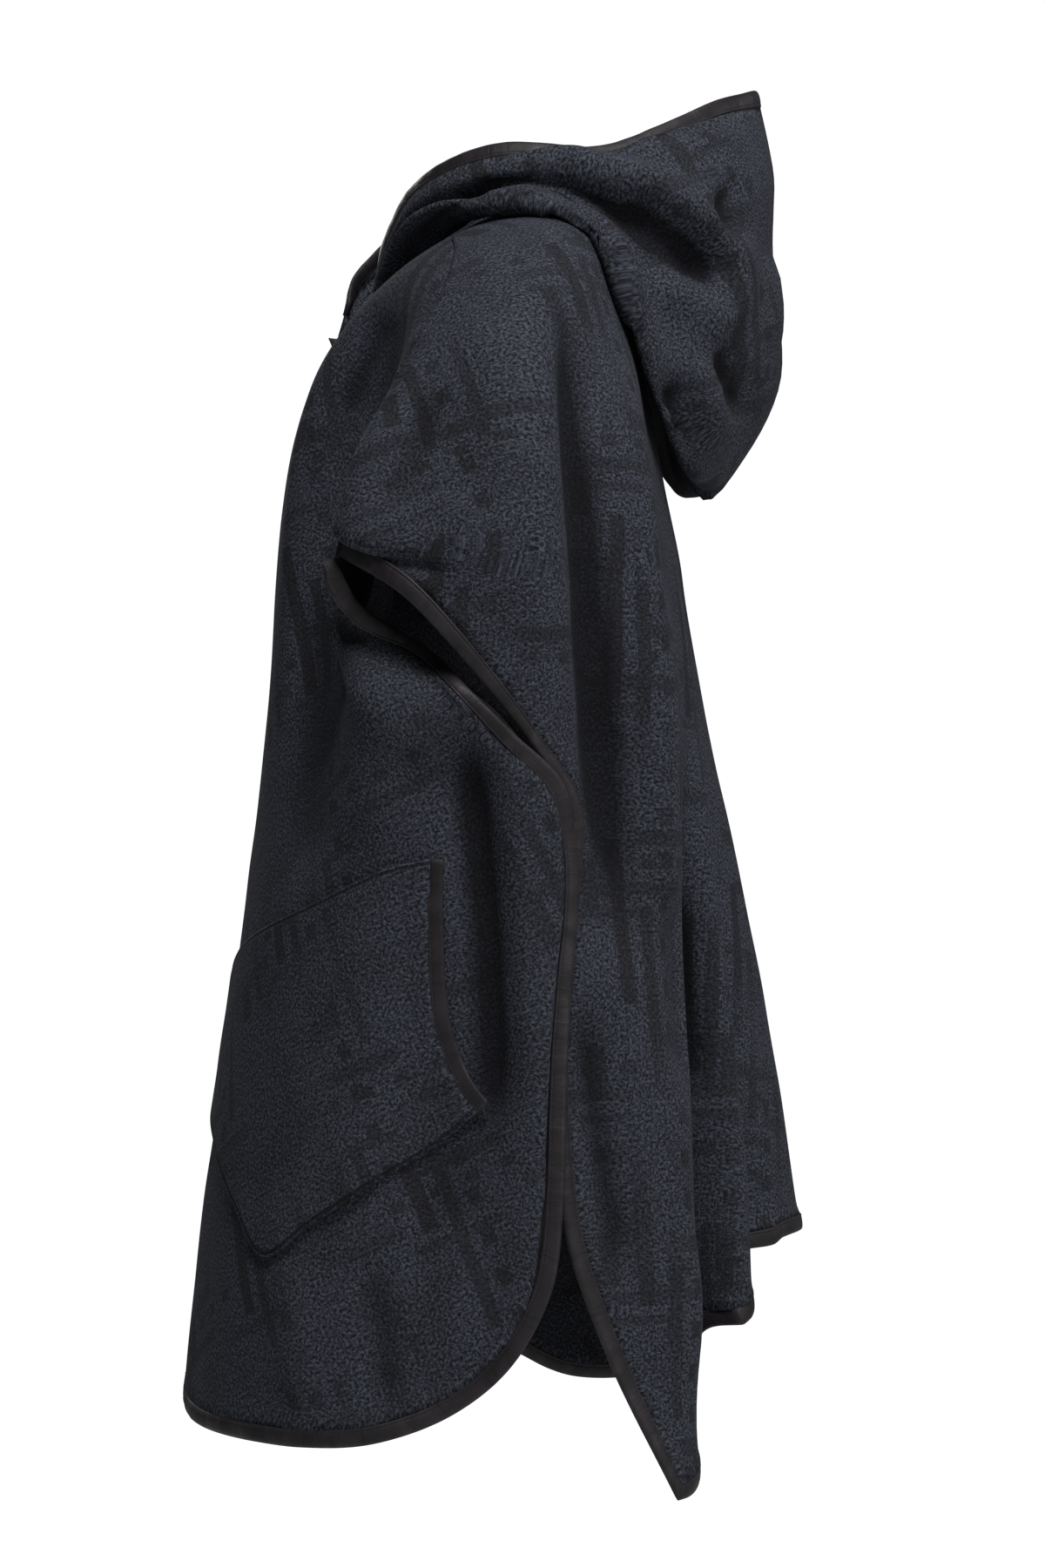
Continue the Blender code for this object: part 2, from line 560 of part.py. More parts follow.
def buildPockets():
    columns = [u for u in frontColumns if pocketTable[0, 0] - 1e-6 < u < 0.8]
    lastButOne = min(u for u in frontColumns if u > 0.8)
    down = np.linspace(0.0, 1.0, 8)
    for side, word in ((1, "left"), (-1, "right")):
        panel = frontSurface(side)
        u, v = np.meshgrid(frontColumns, frontRows)
        shape = u.shape + (3,)
        points = panel(u.ravel(), v.ravel()).reshape(shape)
        normals = outwardNormal(panel, u.ravel(), v.ravel()).reshape(shape)

        def surface(p, q):
            # On the front's own columns and facets, standing off it more towards the open side
            top = pocketTable[-1, 1]
            mouth = np.interp(-(top + (pocketTable[-1, 2] - top) * q), -pocketMouth[:, 0], pocketMouth[:, 1])
            number = np.minimum(p, 1.0) * (len(columns) + 1)
            nearMouth = np.minimum(lastButOne, mouth - 0.022)
            grid = np.stack([np.full(len(p), u) for u in columns] + [nearMouth, mouth])
            k = np.clip(np.floor(number).astype(int), 0, len(grid) - 2)
            here = np.arange(len(p))
            u = grid[k, here] + (grid[k + 1, here] - grid[k, here]) * (number - k)
            high = np.interp(u, pocketTable[:, 0], pocketTable[:, 1])
            low = np.interp(u, pocketTable[:, 0], pocketTable[:, 2])
            v = frontRow(side, u, high + (low - high) * q)
            lift = clothThick + pocketLift + pocketGape * p ** 3 * np.sin(np.pi * np.clip(q, 0.0, 1.0))
            return onFacets(points, u, v) + onFacets(normals, u, v) * lift[:, None]

        across = np.linspace(0.0, 1.0, len(columns) + 2)
        clothWall("pocket_" + word, surface, across, down, clothThick, "knit")
        run = edgeRun(surface, [(1.0, q) for q in down])
        bindingWall("pocket_binding_" + word, run, pocketBindThick, bindWide * 0.9)


def onFacets(grid, u, v):
    # A value between the corners of the front's own cell at (u, v)
    i = np.clip(np.searchsorted(frontColumns, u, side="right") - 1, 0, len(frontColumns) - 2)
    j = np.clip(np.searchsorted(frontRows, v, side="right") - 1, 0, len(frontRows) - 2)
    a = ((u - frontColumns[i]) / (frontColumns[i + 1] - frontColumns[i]))[:, None]
    b = ((v - frontRows[j]) / (frontRows[j + 1] - frontRows[j]))[:, None]
    upper = grid[j, i] * (1 - a) + grid[j, i + 1] * a
    lower = grid[j + 1, i] * (1 - a) + grid[j + 1, i + 1] * a
    return upper * (1 - b) + lower * b


def centreLine(rows):
    # Points and normals down the middle of the front at the fronts' rows
    edge = frontSurface(1)
    zero = np.zeros(len(rows))
    point = edge(zero, rows)
    point[:, 0] = 0.0
    normal = outwardNormal(edge, zero, rows)
    normal[:, 0] = 0.0
    return point, normal / np.linalg.norm(normal, axis=1, keepdims=True)


def buildZip():
    rows = np.concatenate([[tapeTopRow], [v for v in frontRows if tapeTopRow + 0.01 < v < 0.98], [0.985]])
    point, normal = centreLine(rows)
    middle = np.stack([point - normal * tapeDeep] * 2, axis=1)
    middle[:, 0, 0] = tapeHalf
    middle[:, 1, 0] = -tapeHalf
    away = np.repeat(normal[:, None, :], 2, axis=1)
    addWall("zip_tape", middle + away * tapeThick / 2, middle - away * tapeThick / 2, "tape")


def throatFrame():
    # The slider's frame on the zip: its place, the way out from the zip and the way up along it
    point, normal = centreLine(np.linspace(0.02, 0.2, 200))
    k = int(np.argmin(np.abs(point[:, 2] - sliderUp)))
    up = point[k - 8] - point[k + 8]
    up /= np.linalg.norm(up)
    out = np.cross(up, np.array([1.0, 0.0, 0.0]))
    out *= np.sign(out @ normal[k])
    return point[k] + out * sliderOut, out, up


def addPrism(bm, outline, low, high):
    # A slab with this outline of (x, up) points, between two depths
    base = [bm.verts.new((x, low, up)) for x, up in outline]
    face = bm.faces.new(base)
    made = bmesh.ops.extrude_face_region(bm, geom=[face])
    for item in made["geom"]:
        if isinstance(item, bmesh.types.BMVert):
            item.co.y = high


def placeInThroat(bm):
    origin, out, up = throatFrame()
    for vert in bm.verts:
        vert.co = origin + np.array([1.0, 0.0, 0.0]) * vert.co.x + out * vert.co.y + up * vert.co.z
    bmesh.ops.recalc_face_normals(bm, faces=bm.faces)
    if bm.calc_volume(signed=True) < 0.0:
        bmesh.ops.reverse_faces(bm, faces=bm.faces)


def buildSlider():
    wide = sliderSize["wide"] / 2
    narrow = sliderSize["narrow"] / 2
    end = sliderSize["long"] / 2
    face = sliderSize["thick"] / 2
    bm = bmesh.new()
    outline = [(-wide, end * 0.75), (-wide * 0.72, end), (wide * 0.72, end), (wide, end * 0.75),
               (wide, end * 0.1), (narrow, -end * 0.8), (narrow * 0.7, -end), (-narrow * 0.7, -end),
               (-narrow, -end * 0.8), (-wide, end * 0.1)]
    addPrism(bm, outline, -face, face)
    bmesh.ops.recalc_face_normals(bm, faces=bm.faces)
    body = addObject("zip_slider", bm, "metal")
    bm = bmesh.new()
    half = bridge["wide"] / 2
    top = face + bridge["hole"] + bridge["bar"]
    hole = face + bridge["hole"]
    reach = bridge["long"] / 2
    inner = reach - bridge["foot"]
    low = face - 0.0006
    side = [(-reach, low), (-reach, top - 0.0008), (-reach + 0.0008, top), (reach - 0.0008, top),
            (reach, top - 0.0008), (reach, low), (inner, low), (inner, hole), (-inner, hole), (-inner, low)]
    base = [bm.verts.new((-half, depth, up)) for up, depth in side]
    arch = bm.faces.new(base)
    made = bmesh.ops.extrude_face_region(bm, geom=[arch])
    for item in made["geom"]:
        if isinstance(item, bmesh.types.BMVert):
            item.co.x = half
    bmesh.ops.recalc_face_normals(bm, faces=bm.faces)
    joinPieces(body, addObject("zip_slider_bridge", bm, "metal"))


def joinPieces(body, extra):
    # Makes two overlapping closed pieces one closed body, then puts it in its place on the zip
    join = body.modifiers.new("join", "BOOLEAN")
    join.operation = "UNION"
    join.solver = "EXACT"
    join.object = extra
    graph = bpy.context.evaluated_depsgraph_get()
    bm = bmesh.new()
    bm.from_object(body, graph)
    body.modifiers.remove(join)
    bpy.data.objects.remove(extra, do_unlink=True)
    placeInThroat(bm)
    bm.to_mesh(body.data)
    bm.free()


def buildPull():
    rise = sliderSize["thick"] / 2 + pullRise
    thin = pull["bar"] / 2
    inner = pull["window"] / 2
    outer = inner + pull["rim"]
    low = -pull["reach"]
    half = pull["half"]
    end = -pull["long"]
    window = [(-inner, -thin), (inner, -thin), (inner, low), (-inner, low)]
    shape = [(-outer, thin), (outer, thin), (outer, low - 0.0012), (half, low - 0.0032), (half, end + 0.0022),
             (half - 0.0016, end), (-half + 0.0016, end), (-half, end + 0.0022), (-half, low - 0.0032),
             (-outer, low - 0.0012)]
    bm = bmesh.new()
    rings = []
    for outline in (shape, window):
        verts = [bm.verts.new((x, rise - thin, up)) for x, up in outline]
        rings.extend(bm.edges.new((verts[k - 1], verts[k])) for k in range(len(verts)))
    made = bmesh.ops.triangle_fill(bm, use_beauty=True, edges=rings)
    faces = [item for item in made["geom"] if isinstance(item, bmesh.types.BMFace)]
    made = bmesh.ops.extrude_face_region(bm, geom=faces)
    for item in made["geom"]:
        if isinstance(item, bmesh.types.BMVert):
            item.co.y = rise + thin
    placeInThroat(bm)
    # The tab's own origin lies on the axis that it turns on
    origin, out, _ = throatFrame()
    pivot = origin + out * rise
    bmesh.ops.translate(bm, verts=bm.verts, vec=-pivot)
    tab = addObject("zip_pull", bm, "metal")
    tab.location = pivot


def buildGuard():
    # A doubled flap that stands forward of the right front's zip edge at the throat
    rows = np.linspace(0.02, 0.2, 200)
    point, normal = centreLine(rows)
    stops = []
    for height, across, spread in guardTable:
        k = int(np.argmin(np.abs(point[:, 2] - height)))
        root = point[k] + normal[k] * (clothThick / 2 + seamGap + 0.0003)
        tip = root + np.array([0.0, -across * 0.92, across * 0.39])
        leans = np.array([[0.0], [0.35], [1.0]]) * [-spread, 0.0, 0.0] + [guardX, 0.0, 0.0]
        stops.append(np.array([root, (root + tip) / 2, tip]) + leans)
    middle = np.array(stops)
    away = np.zeros_like(middle)
    away[..., 0] = 1.0
    addWall("zip_guard", middle + away * guardThick / 2, middle - away * guardThick / 2, "satin")


def buildPart():
    for old in list(bpy.data.objects):
        bpy.data.objects.remove(old, do_unlink=True)
    buildFronts()
    buildBack()
    buildHood()
    buildPockets()
    buildZip()
    buildSlider()
    buildPull()
    buildGuard()


buildPart()
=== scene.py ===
# Hooded poncho vest in a thick napped knit with satin binding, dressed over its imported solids.
# Metres. The garment faces -Y, its left side is +X, +Z is up.
import math

import bmesh
import bpy
import numpy as np
from mathutils import Matrix, Vector, kdtree, noise
from mathutils.bvhtree import BVHTree


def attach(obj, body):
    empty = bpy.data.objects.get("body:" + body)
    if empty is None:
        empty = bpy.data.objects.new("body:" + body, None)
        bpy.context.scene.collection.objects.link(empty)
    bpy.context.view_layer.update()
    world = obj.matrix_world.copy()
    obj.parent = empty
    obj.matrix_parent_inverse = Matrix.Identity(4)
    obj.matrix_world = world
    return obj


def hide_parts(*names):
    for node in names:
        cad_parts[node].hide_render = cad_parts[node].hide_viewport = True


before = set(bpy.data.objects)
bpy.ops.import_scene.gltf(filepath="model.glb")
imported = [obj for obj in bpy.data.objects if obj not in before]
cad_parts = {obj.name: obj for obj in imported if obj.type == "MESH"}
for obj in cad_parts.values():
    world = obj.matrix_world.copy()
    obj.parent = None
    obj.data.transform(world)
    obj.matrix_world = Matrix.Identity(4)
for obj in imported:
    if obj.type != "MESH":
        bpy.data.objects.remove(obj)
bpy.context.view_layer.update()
print("frame loaded")

# The camera stands level with the middle of the garment, on its left side
view = {"place": (3.0, -0.012, -0.384), "high": 1.08}

# Each cloth solid is a wall of rows x columns of points
wallTable = [
    # kind, columns, thickness of the wall, where its first row begins, the next place on that row
    ("front", 14, 0.0026, (0.005, -0.105, -0.055), (0.013, -0.104, -0.054)),
    ("back_panel", 41, 0.0026, (0.078, -0.052, -0.016), (0.081, -0.045, -0.011)),
    ("hood", 16, 0.0026, (0.019, -0.106, -0.051), (0.037, -0.099, -0.044)),
    ("pocket", 10, 0.0026, (0.059, -0.209, -0.515), (0.088, -0.206, -0.505)),
    ("front_binding", 2, 0.0040, (0.251, -0.137, -0.240), (0.255, -0.138, -0.239)),
    ("back_binding", 2, 0.0040, (0.257, -0.128, -0.241), (0.254, -0.127, -0.244)),
    ("hood_binding", 2, 0.0040, (0.029, -0.113, -0.042), (0.021, -0.109, -0.034)),
    ("zip_tape", 2, 0.0018, (0.015, -0.116, -0.076), (-0.015, -0.116, -0.076)),
    ("pocket_binding", 2, 0.0030, (0.281, -0.072, -0.431), (0.284, -0.062, -0.431)),
]
walls = {row[0]: dict(zip(("columns", "thick", "start", "next"), row[1:])) for row in wallTable}


def kindOf(node):
    return node.replace("_left", "").replace("_right", "")


def sideOf(node):
    return -1.0 if node.endswith("_right") else 1.0


def wallPartners(bm, thick):
    # For each vertex of a wall, the vertex right behind it
    bm.verts.ensure_lookup_table()
    bm.verts.index_update()
    tree = kdtree.KDTree(len(bm.verts))
    for vert in bm.verts:
        tree.insert(vert.co, vert.index)
    tree.balance()
    found = {}
    for vert in bm.verts:
        near = tree.find_range(vert.co, thick * 1.02)
        found[vert] = bm.verts[min(near, key=lambda hit: abs(hit[2] - thick))[1]]
    return found


def outerIsland(bm):
    # The side of an opened wall that faces away from the body's axis
    best = None
    left = set(bm.faces)
    while left:
        seed = left.pop()
        island = {seed}
        queue = [seed]
        while queue:
            face = queue.pop()
            for edge in face.edges:
                for other in edge.link_faces:
                    if other not in island:
                        island.add(other)
                        queue.append(other)
        left -= island
        away = sum(f.calc_area() * f.normal.xy.dot(f.calc_center_median().xy) for f in island)
        if best is None or away > best[0]:
            best = (away, island)
    return {vert for face in best[1] for vert in face.verts}


def besideOnRim(vert):
    return [edge.other_vert(vert) for edge in vert.link_edges if len(edge.link_faces) == 1]


def peelRows(outer, columns, start, after):
    # Rows of vertices, the first along the rim from the corner nearest start towards after
    rim = [vert for vert in outer if besideOnRim(vert)]
    first = min(rim, key=lambda vert: (vert.co - Vector(start)).length)
    row = [first, min(besideOnRim(first), key=lambda vert: (vert.co - Vector(after)).length)]
    while len(row) < columns:
        row.append(next(vert for vert in besideOnRim(row[-1]) if vert not in row))
    rows = [row]
    used = set(row)
    while True:
        pool = {edge.other_vert(vert) for vert in row for edge in vert.link_edges} - used
        if not pool:
            return rows
        row = [next(vert for vert in besideOnRim(row[0]) if vert in pool)]
        while len(row) < columns:
            beside = [edge.other_vert(row[-1]) for edge in row[-1].link_edges]
            row.append(next(vert for vert in beside if vert in pool and vert not in row))
        used.update(row)
        rows.append(row)


# The armhole on the side that isn't shown hangs a little more closed than its solids
armholeDrape = {"centre": (-0.285, -0.028, -0.335), "reach": 0.060,
                "moves": {"back_panel": (0.0, -0.007, -0.009), "back_binding": (0.0, -0.007, -0.009),
                          "front_right": (0.0, 0.003, 0.004), "front_binding_right": (0.0, 0.003, 0.004)}}

# The roll at the hood's base, and the back under it, lie closer to the neck than their solids: for
# heights in the side view, where the back's outline stands and how far it moves
neckSlope = {"up": [0.150, 0.200, 0.258, 0.300, 0.345, 0.374, 0.400, 0.420],
             "edge": [0.100, 0.106, 0.109, 0.107, 0.103, 0.081, 0.060, 0.040],
             "by": [0.0, -0.004, -0.014, -0.025, -0.030, -0.021, -0.006, 0.0],
             "back": 0.09, "hood": 0.08, "sag": 0.014, "sagAt": (0.058, 0.395), "sagReach": (0.030, 0.020),
             "rollDown": 0.005, "rows": 15.0, "rollRows": (3.0, 13.0), "rowFade": 4.0, "throat": -0.010,
             "rollEnd": -0.075, "fade": 0.050}
# Places that hang a little otherwise than their solids: centre, reach and move of each
softMoves = [
    {"nodes": ("back_panel", "back_binding"), "centre": (0.155, 0.142, -0.722), "reach": 0.032,
     "move": (0.0, -0.006, -0.011)},
    {"nodes": ("back_panel", "back_binding"), "centre": (0.255, 0.0893, -0.829), "reach": 0.036,
     "move": (0.0, 0.0, -0.004), "pinch": 0.75},
    {"nodes": ("front_left", "front_right"), "centre": (0.010, -0.131, -0.078), "reach": 0.034,
     "move": (0.0, 0.0055, 0.0)},
    {"nodes": ("hood_right", "hood_binding"), "centre": (-0.022, -0.138, -0.064), "reach": 0.015,
     "move": (0.003, 0.0005, -0.0085)},
]
# Points at the armhole's front corner that are set one by one: (row, column from the edge): move
cornerMoves = {
    "back_panel": {(7, 0): (0.008, 0.0110, 0.0066), (7, 1): (0.005, 0.0082, 0.0071),
                   (7, 2): (0.0, 0.0071, 0.0044), (7, 3): (0.0, 0.0027, 0.0033)},
    "back_binding": {(0, 0): (0.004, 0.0005, 0.0020), (0, 1): (0.005, 0.0022, 0.0137)},
    "front_binding": {(0, 0): (0.004, 0.0077, -0.0027), (0, 1): (0.003, -0.0044, -0.0038),
                      (1, 0): (-0.005, 0.0197, 0.0033), (1, 1): (0.007, 0.0050, -0.0027),
                      (2, 0): (0.004, 0.0040, 0.0027), (2, 1): (0.010, 0.0033, 0.0)},
    "front": {(7, 0): (0.002, 0.0040, -0.0030), (8, 0): (0.004, 0.0060, 0.0010),
              (9, 0): (0.006, 0.0030, 0.0015)},
}


def moveCorners(node, middle):
    # The same on both sides; the back has a corner at each of its edges, its binding one at each end
    kind = kindOf(node)
    mirror = np.array((-1.0, 1.0, 1.0))
    for (row, column), move in cornerMoves.get(kind, {}).items():
        if kind.startswith("back"):
            middle[row, column] += move
            other = (row, -1 - column) if kind == "back_panel" else (-1 - row, column)
            middle[other] += mirror * move
        else:
            flip = np.array((sideOf(node), 1.0, 1.0))
            middle[row, -1 - column if kind == "front" else column] += flip * move


def moveSoftly(node, middle):
    for spot in softMoves:
        if node in spot["nodes"]:
            for side in (1.0, -1.0):
                centre = np.array(spot["centre"]) * (side, 1.0, 1.0)
                share = np.exp(-(np.linalg.norm(middle - centre, axis=2) / spot["reach"]) ** 2)
                middle[..., 1] -= (middle[..., 1] - centre[1]) * share * spot.get("pinch", 0.0)
                middle += share[..., None] * np.array(spot["move"])


def lieCloser(node, middle):
    seen = sideView(middle)
    shift = np.interp(seen[..., 1], neckSlope["up"], neckSlope["by"])
    edge = np.interp(seen[..., 1], neckSlope["up"], neckSlope["edge"])
    if node == "back_panel":
        share = ease((seen[..., 0] - edge + neckSlope["back"]) / neckSlope["back"])
    else:
        row = np.arange(len(middle))[:, None]
        # Only the rows near the neck seam move, and the hood's ends at the throat stay
        share = ease((edge + neckSlope["hood"] - seen[..., 0]) / neckSlope["hood"])
        share = share * ease((neckSlope["rows"] - row) / neckSlope["rowFade"])
        share = share * ease((seen[..., 0] - neckSlope["throat"]) / neckSlope["fade"])
        apart = (seen - np.array(neckSlope["sagAt"])) / neckSlope["sagReach"]
        down = neckSlope["sag"] * np.exp(-np.sum(apart ** 2, axis=2)) + neckSlope["rollDown"]
        first, last = neckSlope["rollRows"]
        down = down * ease(row / first) * ease((last - row) / neckSlope["rowFade"])
        middle[..., 2] -= down * ease((seen[..., 0] - neckSlope["rollEnd"]) / neckSlope["fade"])
    middle[..., 1] += shift * share


def readWall(node):
    # A cloth solid as two arrays, rows x columns x 3: the middle of the cloth, and its outward normals
    wall = walls[kindOf(node)]
    flip = Vector((sideOf(node), 1.0, 1.0))
    bm = bmesh.new()
    bm.from_mesh(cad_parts[node].data)
    bmesh.ops.remove_doubles(bm, verts=bm.verts, dist=1e-6)
    partner = wallPartners(bm, wall["thick"])
    rim = [face for face in bm.faces if any(partner[vert] in face.verts for vert in face.verts)]
    bmesh.ops.delete(bm, geom=rim, context="FACES")
    start, after = flip * Vector(wall["start"]), flip * Vector(wall["next"])
    rows = peelRows(outerIsland(bm), wall["columns"], start, after)
    outer = np.array([[vert.co[:] for vert in row] for row in rows])
    inner = np.array([[partner[vert].co[:] for vert in row] for row in rows])
    bm.free()
    middle = (outer + inner) / 2.0
    if kindOf(node) in ("back_panel", "hood"):
        lieCloser(node, middle)
    moveCorners(node, middle)
    moveSoftly(node, middle)
    if node in armholeDrape["moves"]:
        apart = np.linalg.norm(middle - np.array(armholeDrape["centre"]), axis=2) / armholeDrape["reach"]
        middle = middle + np.exp(-apart ** 2)[..., None] * np.array(armholeDrape["moves"][node])
    return middle, (outer - inner) / wall["thick"]


def curveThrough(knots, values, places, sharp=None):
    # Smooth curves through values, an array with one entry for each knot, at many places. sharp gives
    # the knots where the curves may turn a corner, each with how sharp
    step = np.diff(knots)
    shape = (-1,) + (1,) * (values.ndim - 1)
    rise = np.diff(values, axis=0) / step.reshape(shape)
    before = step[:-1].reshape(shape)
    after = step[1:].reshape(shape)
    slope = np.empty_like(values)
    slope[1:-1] = (rise[:-1] * after + rise[1:] * before) / (before + after)
    slope[0] = rise[0]
    slope[-1] = rise[-1]
    arrive = slope.copy()
    for knot, share in (sharp or {}).items():
        arrive[knot] = slope[knot] * (1.0 - share) + rise[knot - 1] * share
        slope[knot] = slope[knot] * (1.0 - share) + rise[knot] * share
    k = np.clip(np.searchsorted(knots, places, side="right") - 1, 0, len(knots) - 2)
    t = ((places - knots[k]) / step[k]).reshape(shape)
    wide = step[k].reshape(shape)
    low = (2 * t ** 3 - 3 * t ** 2 + 1) * values[k] + (t ** 3 - 2 * t ** 2 + t) * wide * slope[k]
    high = (3 * t ** 2 - 2 * t ** 3) * values[k + 1] + (t ** 3 - t ** 2) * wide * arrive[k + 1]
    return low + high


def ease(x):
    x = np.clip(x, 0.0, 1.0)
    return x * x * (3.0 - 2.0 * x)


def meanKnots(points, axis):
    # Distances along a grid's rows or columns, averaged over all of them
    step = np.linalg.norm(np.diff(points, axis=axis), axis=2).mean(axis=1 - axis)
    return np.concatenate([[0.0], np.cumsum(step)])


def refine(points, spacing, like=None, cornerRow=None):
    # A finer grid through a coarse one. like is the grid that sets the spacing, or else points itself,
    # and cornerRow the row where both side edges turn a corner, straight from there to the next row
    sharp = None if cornerRow is None else {cornerRow: 1.0, cornerRow + 1: 1.0}
    allKnots = [meanKnots(points if like is None else like, axis) for axis in (0, 1)]
    for axis, knots in enumerate(allKnots):
        places = np.linspace(0.0, knots[-1], max(2, round(knots[-1] / spacing) + 1))
        moved = curveThrough(knots, np.moveaxis(points, axis, 0), places, sharp if axis == 0 else None)
        points = np.moveaxis(moved, 0, axis)
    return points


def gridNormals(points, like):
    # Unit normals of a grid, on the same side as the coarse normals
    down = np.gradient(points, axis=0)
    across = np.gradient(points, axis=1)
    normal = np.cross(across, down)
    normal /= np.maximum(np.linalg.norm(normal, axis=2, keepdims=True), 1e-9)
    middle = normal[normal.shape[0] // 2, normal.shape[1] // 2]
    facing = like[like.shape[0] // 2, like.shape[1] // 2]
    return normal * (1.0 if middle @ facing > 0.0 else -1.0)


def hollowness(points, normals, reach):
    # How far each point lies below the cloth around it, in metres
    around = settle(points.copy(), reach)
    return np.sum((around - points) * normals, axis=2)


def gridMesh(points, flat, sewn=None, hollow=None):
    # A mesh with one vertex for each point of a grid, and its flat lay as a UV map, in metres. sewn is
    # a second map: how far from the nearest line of stitches, and how far along it
    # The last argument, when given, becomes a vertex attribute: how much shade is painted on the cloth
    # there
    rows, columns = points.shape[:2]
    bm = bmesh.new()
    bmesh.ops.create_grid(bm, x_segments=columns - 1, y_segments=rows - 1, size=1.0)
    layer = bm.loops.layers.uv.new("clothUv")
    sewnLayer = bm.loops.layers.uv.new("sewnUv") if sewn is not None else None
    hollowLayer = bm.verts.layers.float.new("hollow") if hollow is not None else None
    place = {}
    for vert in bm.verts:
        column = round((vert.co.x + 1.0) * 0.5 * (columns - 1))
        row = round((vert.co.y + 1.0) * 0.5 * (rows - 1))
        place[vert] = (row, column)
        vert.co = points[row, column]
        if hollowLayer:
            vert[hollowLayer] = hollow[row, column]
    for face in bm.faces:
        face.smooth = True
        for loop in face.loops:
            loop[layer].uv = flat[place[loop.vert]]
            if sewnLayer:
                loop[sewnLayer].uv = sewn[place[loop.vert]]
    return bm


def facesInward(bm, points, normals):
    # Whether the mesh of a grid faces against the grid's normals, judged at its middle
    bm.normal_update()
    row, column = points.shape[0] // 2, points.shape[1] // 2
    middle = Vector(points[row, column])
    face = min(bm.faces, key=lambda each: (each.calc_center_median() - middle).length)
    return face.normal.dot(Vector(normals[row, column])) < 0.0


def addObject(name, data):
    thing = bpy.data.objects.new(name, data)
    bpy.context.scene.collection.objects.link(thing)
    return thing


def addPiece(name, bm, material):
    mesh = bpy.data.meshes.new(name)
    bm.to_mesh(mesh)
    bm.free()
    mesh.materials.append(material)
    piece = addObject(name, mesh)
    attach(piece, "garment")
    return piece


def springPairs(points):
    # Each way that neighbours in a grid are tied, and how far apart they are
    pairs = []
    for down, over in ((0, 1), (1, 0), (1, 1), (1, -1)):
        tall, wide = points.shape[0] - down, points.shape[1]
        here = (slice(0, tall), slice(max(0, -over), wide - max(0, over)))
        there = (slice(down, down + tall), slice(max(0, over), wide - max(0, -over)))
        pairs.append((here, there, np.linalg.norm(points[there] - points[here], axis=2, keepdims=True)))
    return pairs


def springPull(flat, pairs):
    # How the springs between neighbours pull each point of a grid
    total = np.zeros_like(flat)
    for here, there, length in pairs:
        apart = flat[there] - flat[here]
        now = np.maximum(np.linalg.norm(apart, axis=2, keepdims=True), 1e-7)
        pull = apart * (now - length) / now
        total[here] += pull
        total[there] -= pull
    return total


def stepsAlong(points, axis):
    # For each point of a grid, its distance from the first one along its row (axis 1) or column (0)
    step = np.linalg.norm(np.diff(points, axis=axis), axis=2)
    return np.insert(np.cumsum(step, axis=axis), 0, 0.0, axis=axis)


def flatLay(points, lean, levelRow, startColumn, turns=1500, step=0.12):
    # Where a coarse grid lies on the flat cloth: laid out by its rows' and columns' lengths, then
    # eased like a net of springs, and turned so that its start column leans off the weave
    rows, columns = stepsAlong(points, 1), stepsAlong(points, 0)
    flat = np.stack([rows - rows[:, [startColumn]], columns - columns[[levelRow]]], axis=2)
    pairs = springPairs(points)
    for _ in range(turns):
        flat = flat + springPull(flat, pairs) * step
    flat -= flat[levelRow, startColumn]
    near = max(0, levelRow - 3)
    far = min(len(flat) - 1, levelRow + 3)
    down = flat[far, startColumn] - flat[near, startColumn]
    turn = math.radians(lean) + math.pi / 2.0 - math.atan2(down[1], down[0])
    turned = np.array([[math.cos(turn), math.sin(turn)], [-math.sin(turn), math.cos(turn)]])
    return flat @ turned


def easeLay(flat, points, first, last, turns=900, step=0.10):
    # Evens the flat lay of the rows between first and last, so that the weave keeps its scale there
    rows = slice(max(0, first), last)
    lay = flat[rows].copy()
    pairs = springPairs(points[rows])
    for _ in range(turns):
        lay[1:-1] += springPull(lay, pairs)[1:-1] * step
    flat[rows] = lay
    return flat


def settle(points, times):
    # Evens out small kinks, with the edges kept
    for _ in range(times):
        inside = points[1:-1, 1:-1]
        around = (points[:-2, 1:-1] + points[2:, 1:-1] + points[1:-1, :-2] + points[1:-1, 2:]) / 4.0
        points[1:-1, 1:-1] = inside + (around - inside) * 0.6
    return points


def pieceTree(piece):
    mesh = piece.data
    corners = [vert.co[:] for vert in mesh.vertices]
    return BVHTree.FromPolygons(corners, [face.vertices[:] for face in mesh.polygons])


def keepClear(points, trees, clear, near=0.012, squarely=0.8):
    # Lifts a grid softly off the pieces that it lies on, where it sinks into them. Only what lies near
    # and squarely over a piece is lifted
    for _ in range(5):
        lift = np.zeros_like(points)
        for place in np.ndindex(points.shape[:2]):
            here = Vector(points[place])
            for tree in trees:
                spot, normal, _, apart = tree.find_nearest(here, near)
                if spot is None or abs((here - spot).dot(normal)) < squarely * apart:
                    continue
                short = clear - (here - spot).dot(normal)
                if short > np.linalg.norm(lift[place]):
                    lift[place] = np.array(normal * short)
        points = points + settle(lift, 3)
    return points


def fromEdge(points, side):
    # A grid seen from one of its edges: its first column lies there, and its rows run inwards
    return {"first column": points, "last column": points[:, ::-1], "first row": points.transpose(1, 0, 2),
            "last row": points[::-1].transpose(1, 0, 2)}[side]


def extendEdges(points, sides, reach, fromRow=0.0):
    # Draws a panel's edges out a little, so that they end inside their binding
    points = points.copy()
    below = (np.linspace(0.0, 1.0, len(points)) >= fromRow)[:, None]
    for side in sides:
        grid = fromEdge(points, side)
        out = grid[:, 0] - grid[:, 1]
        grown = below * reach if side.endswith("column") else reach
        grid[:, 0] += out / np.linalg.norm(out, axis=1, keepdims=True) * grown
    return points


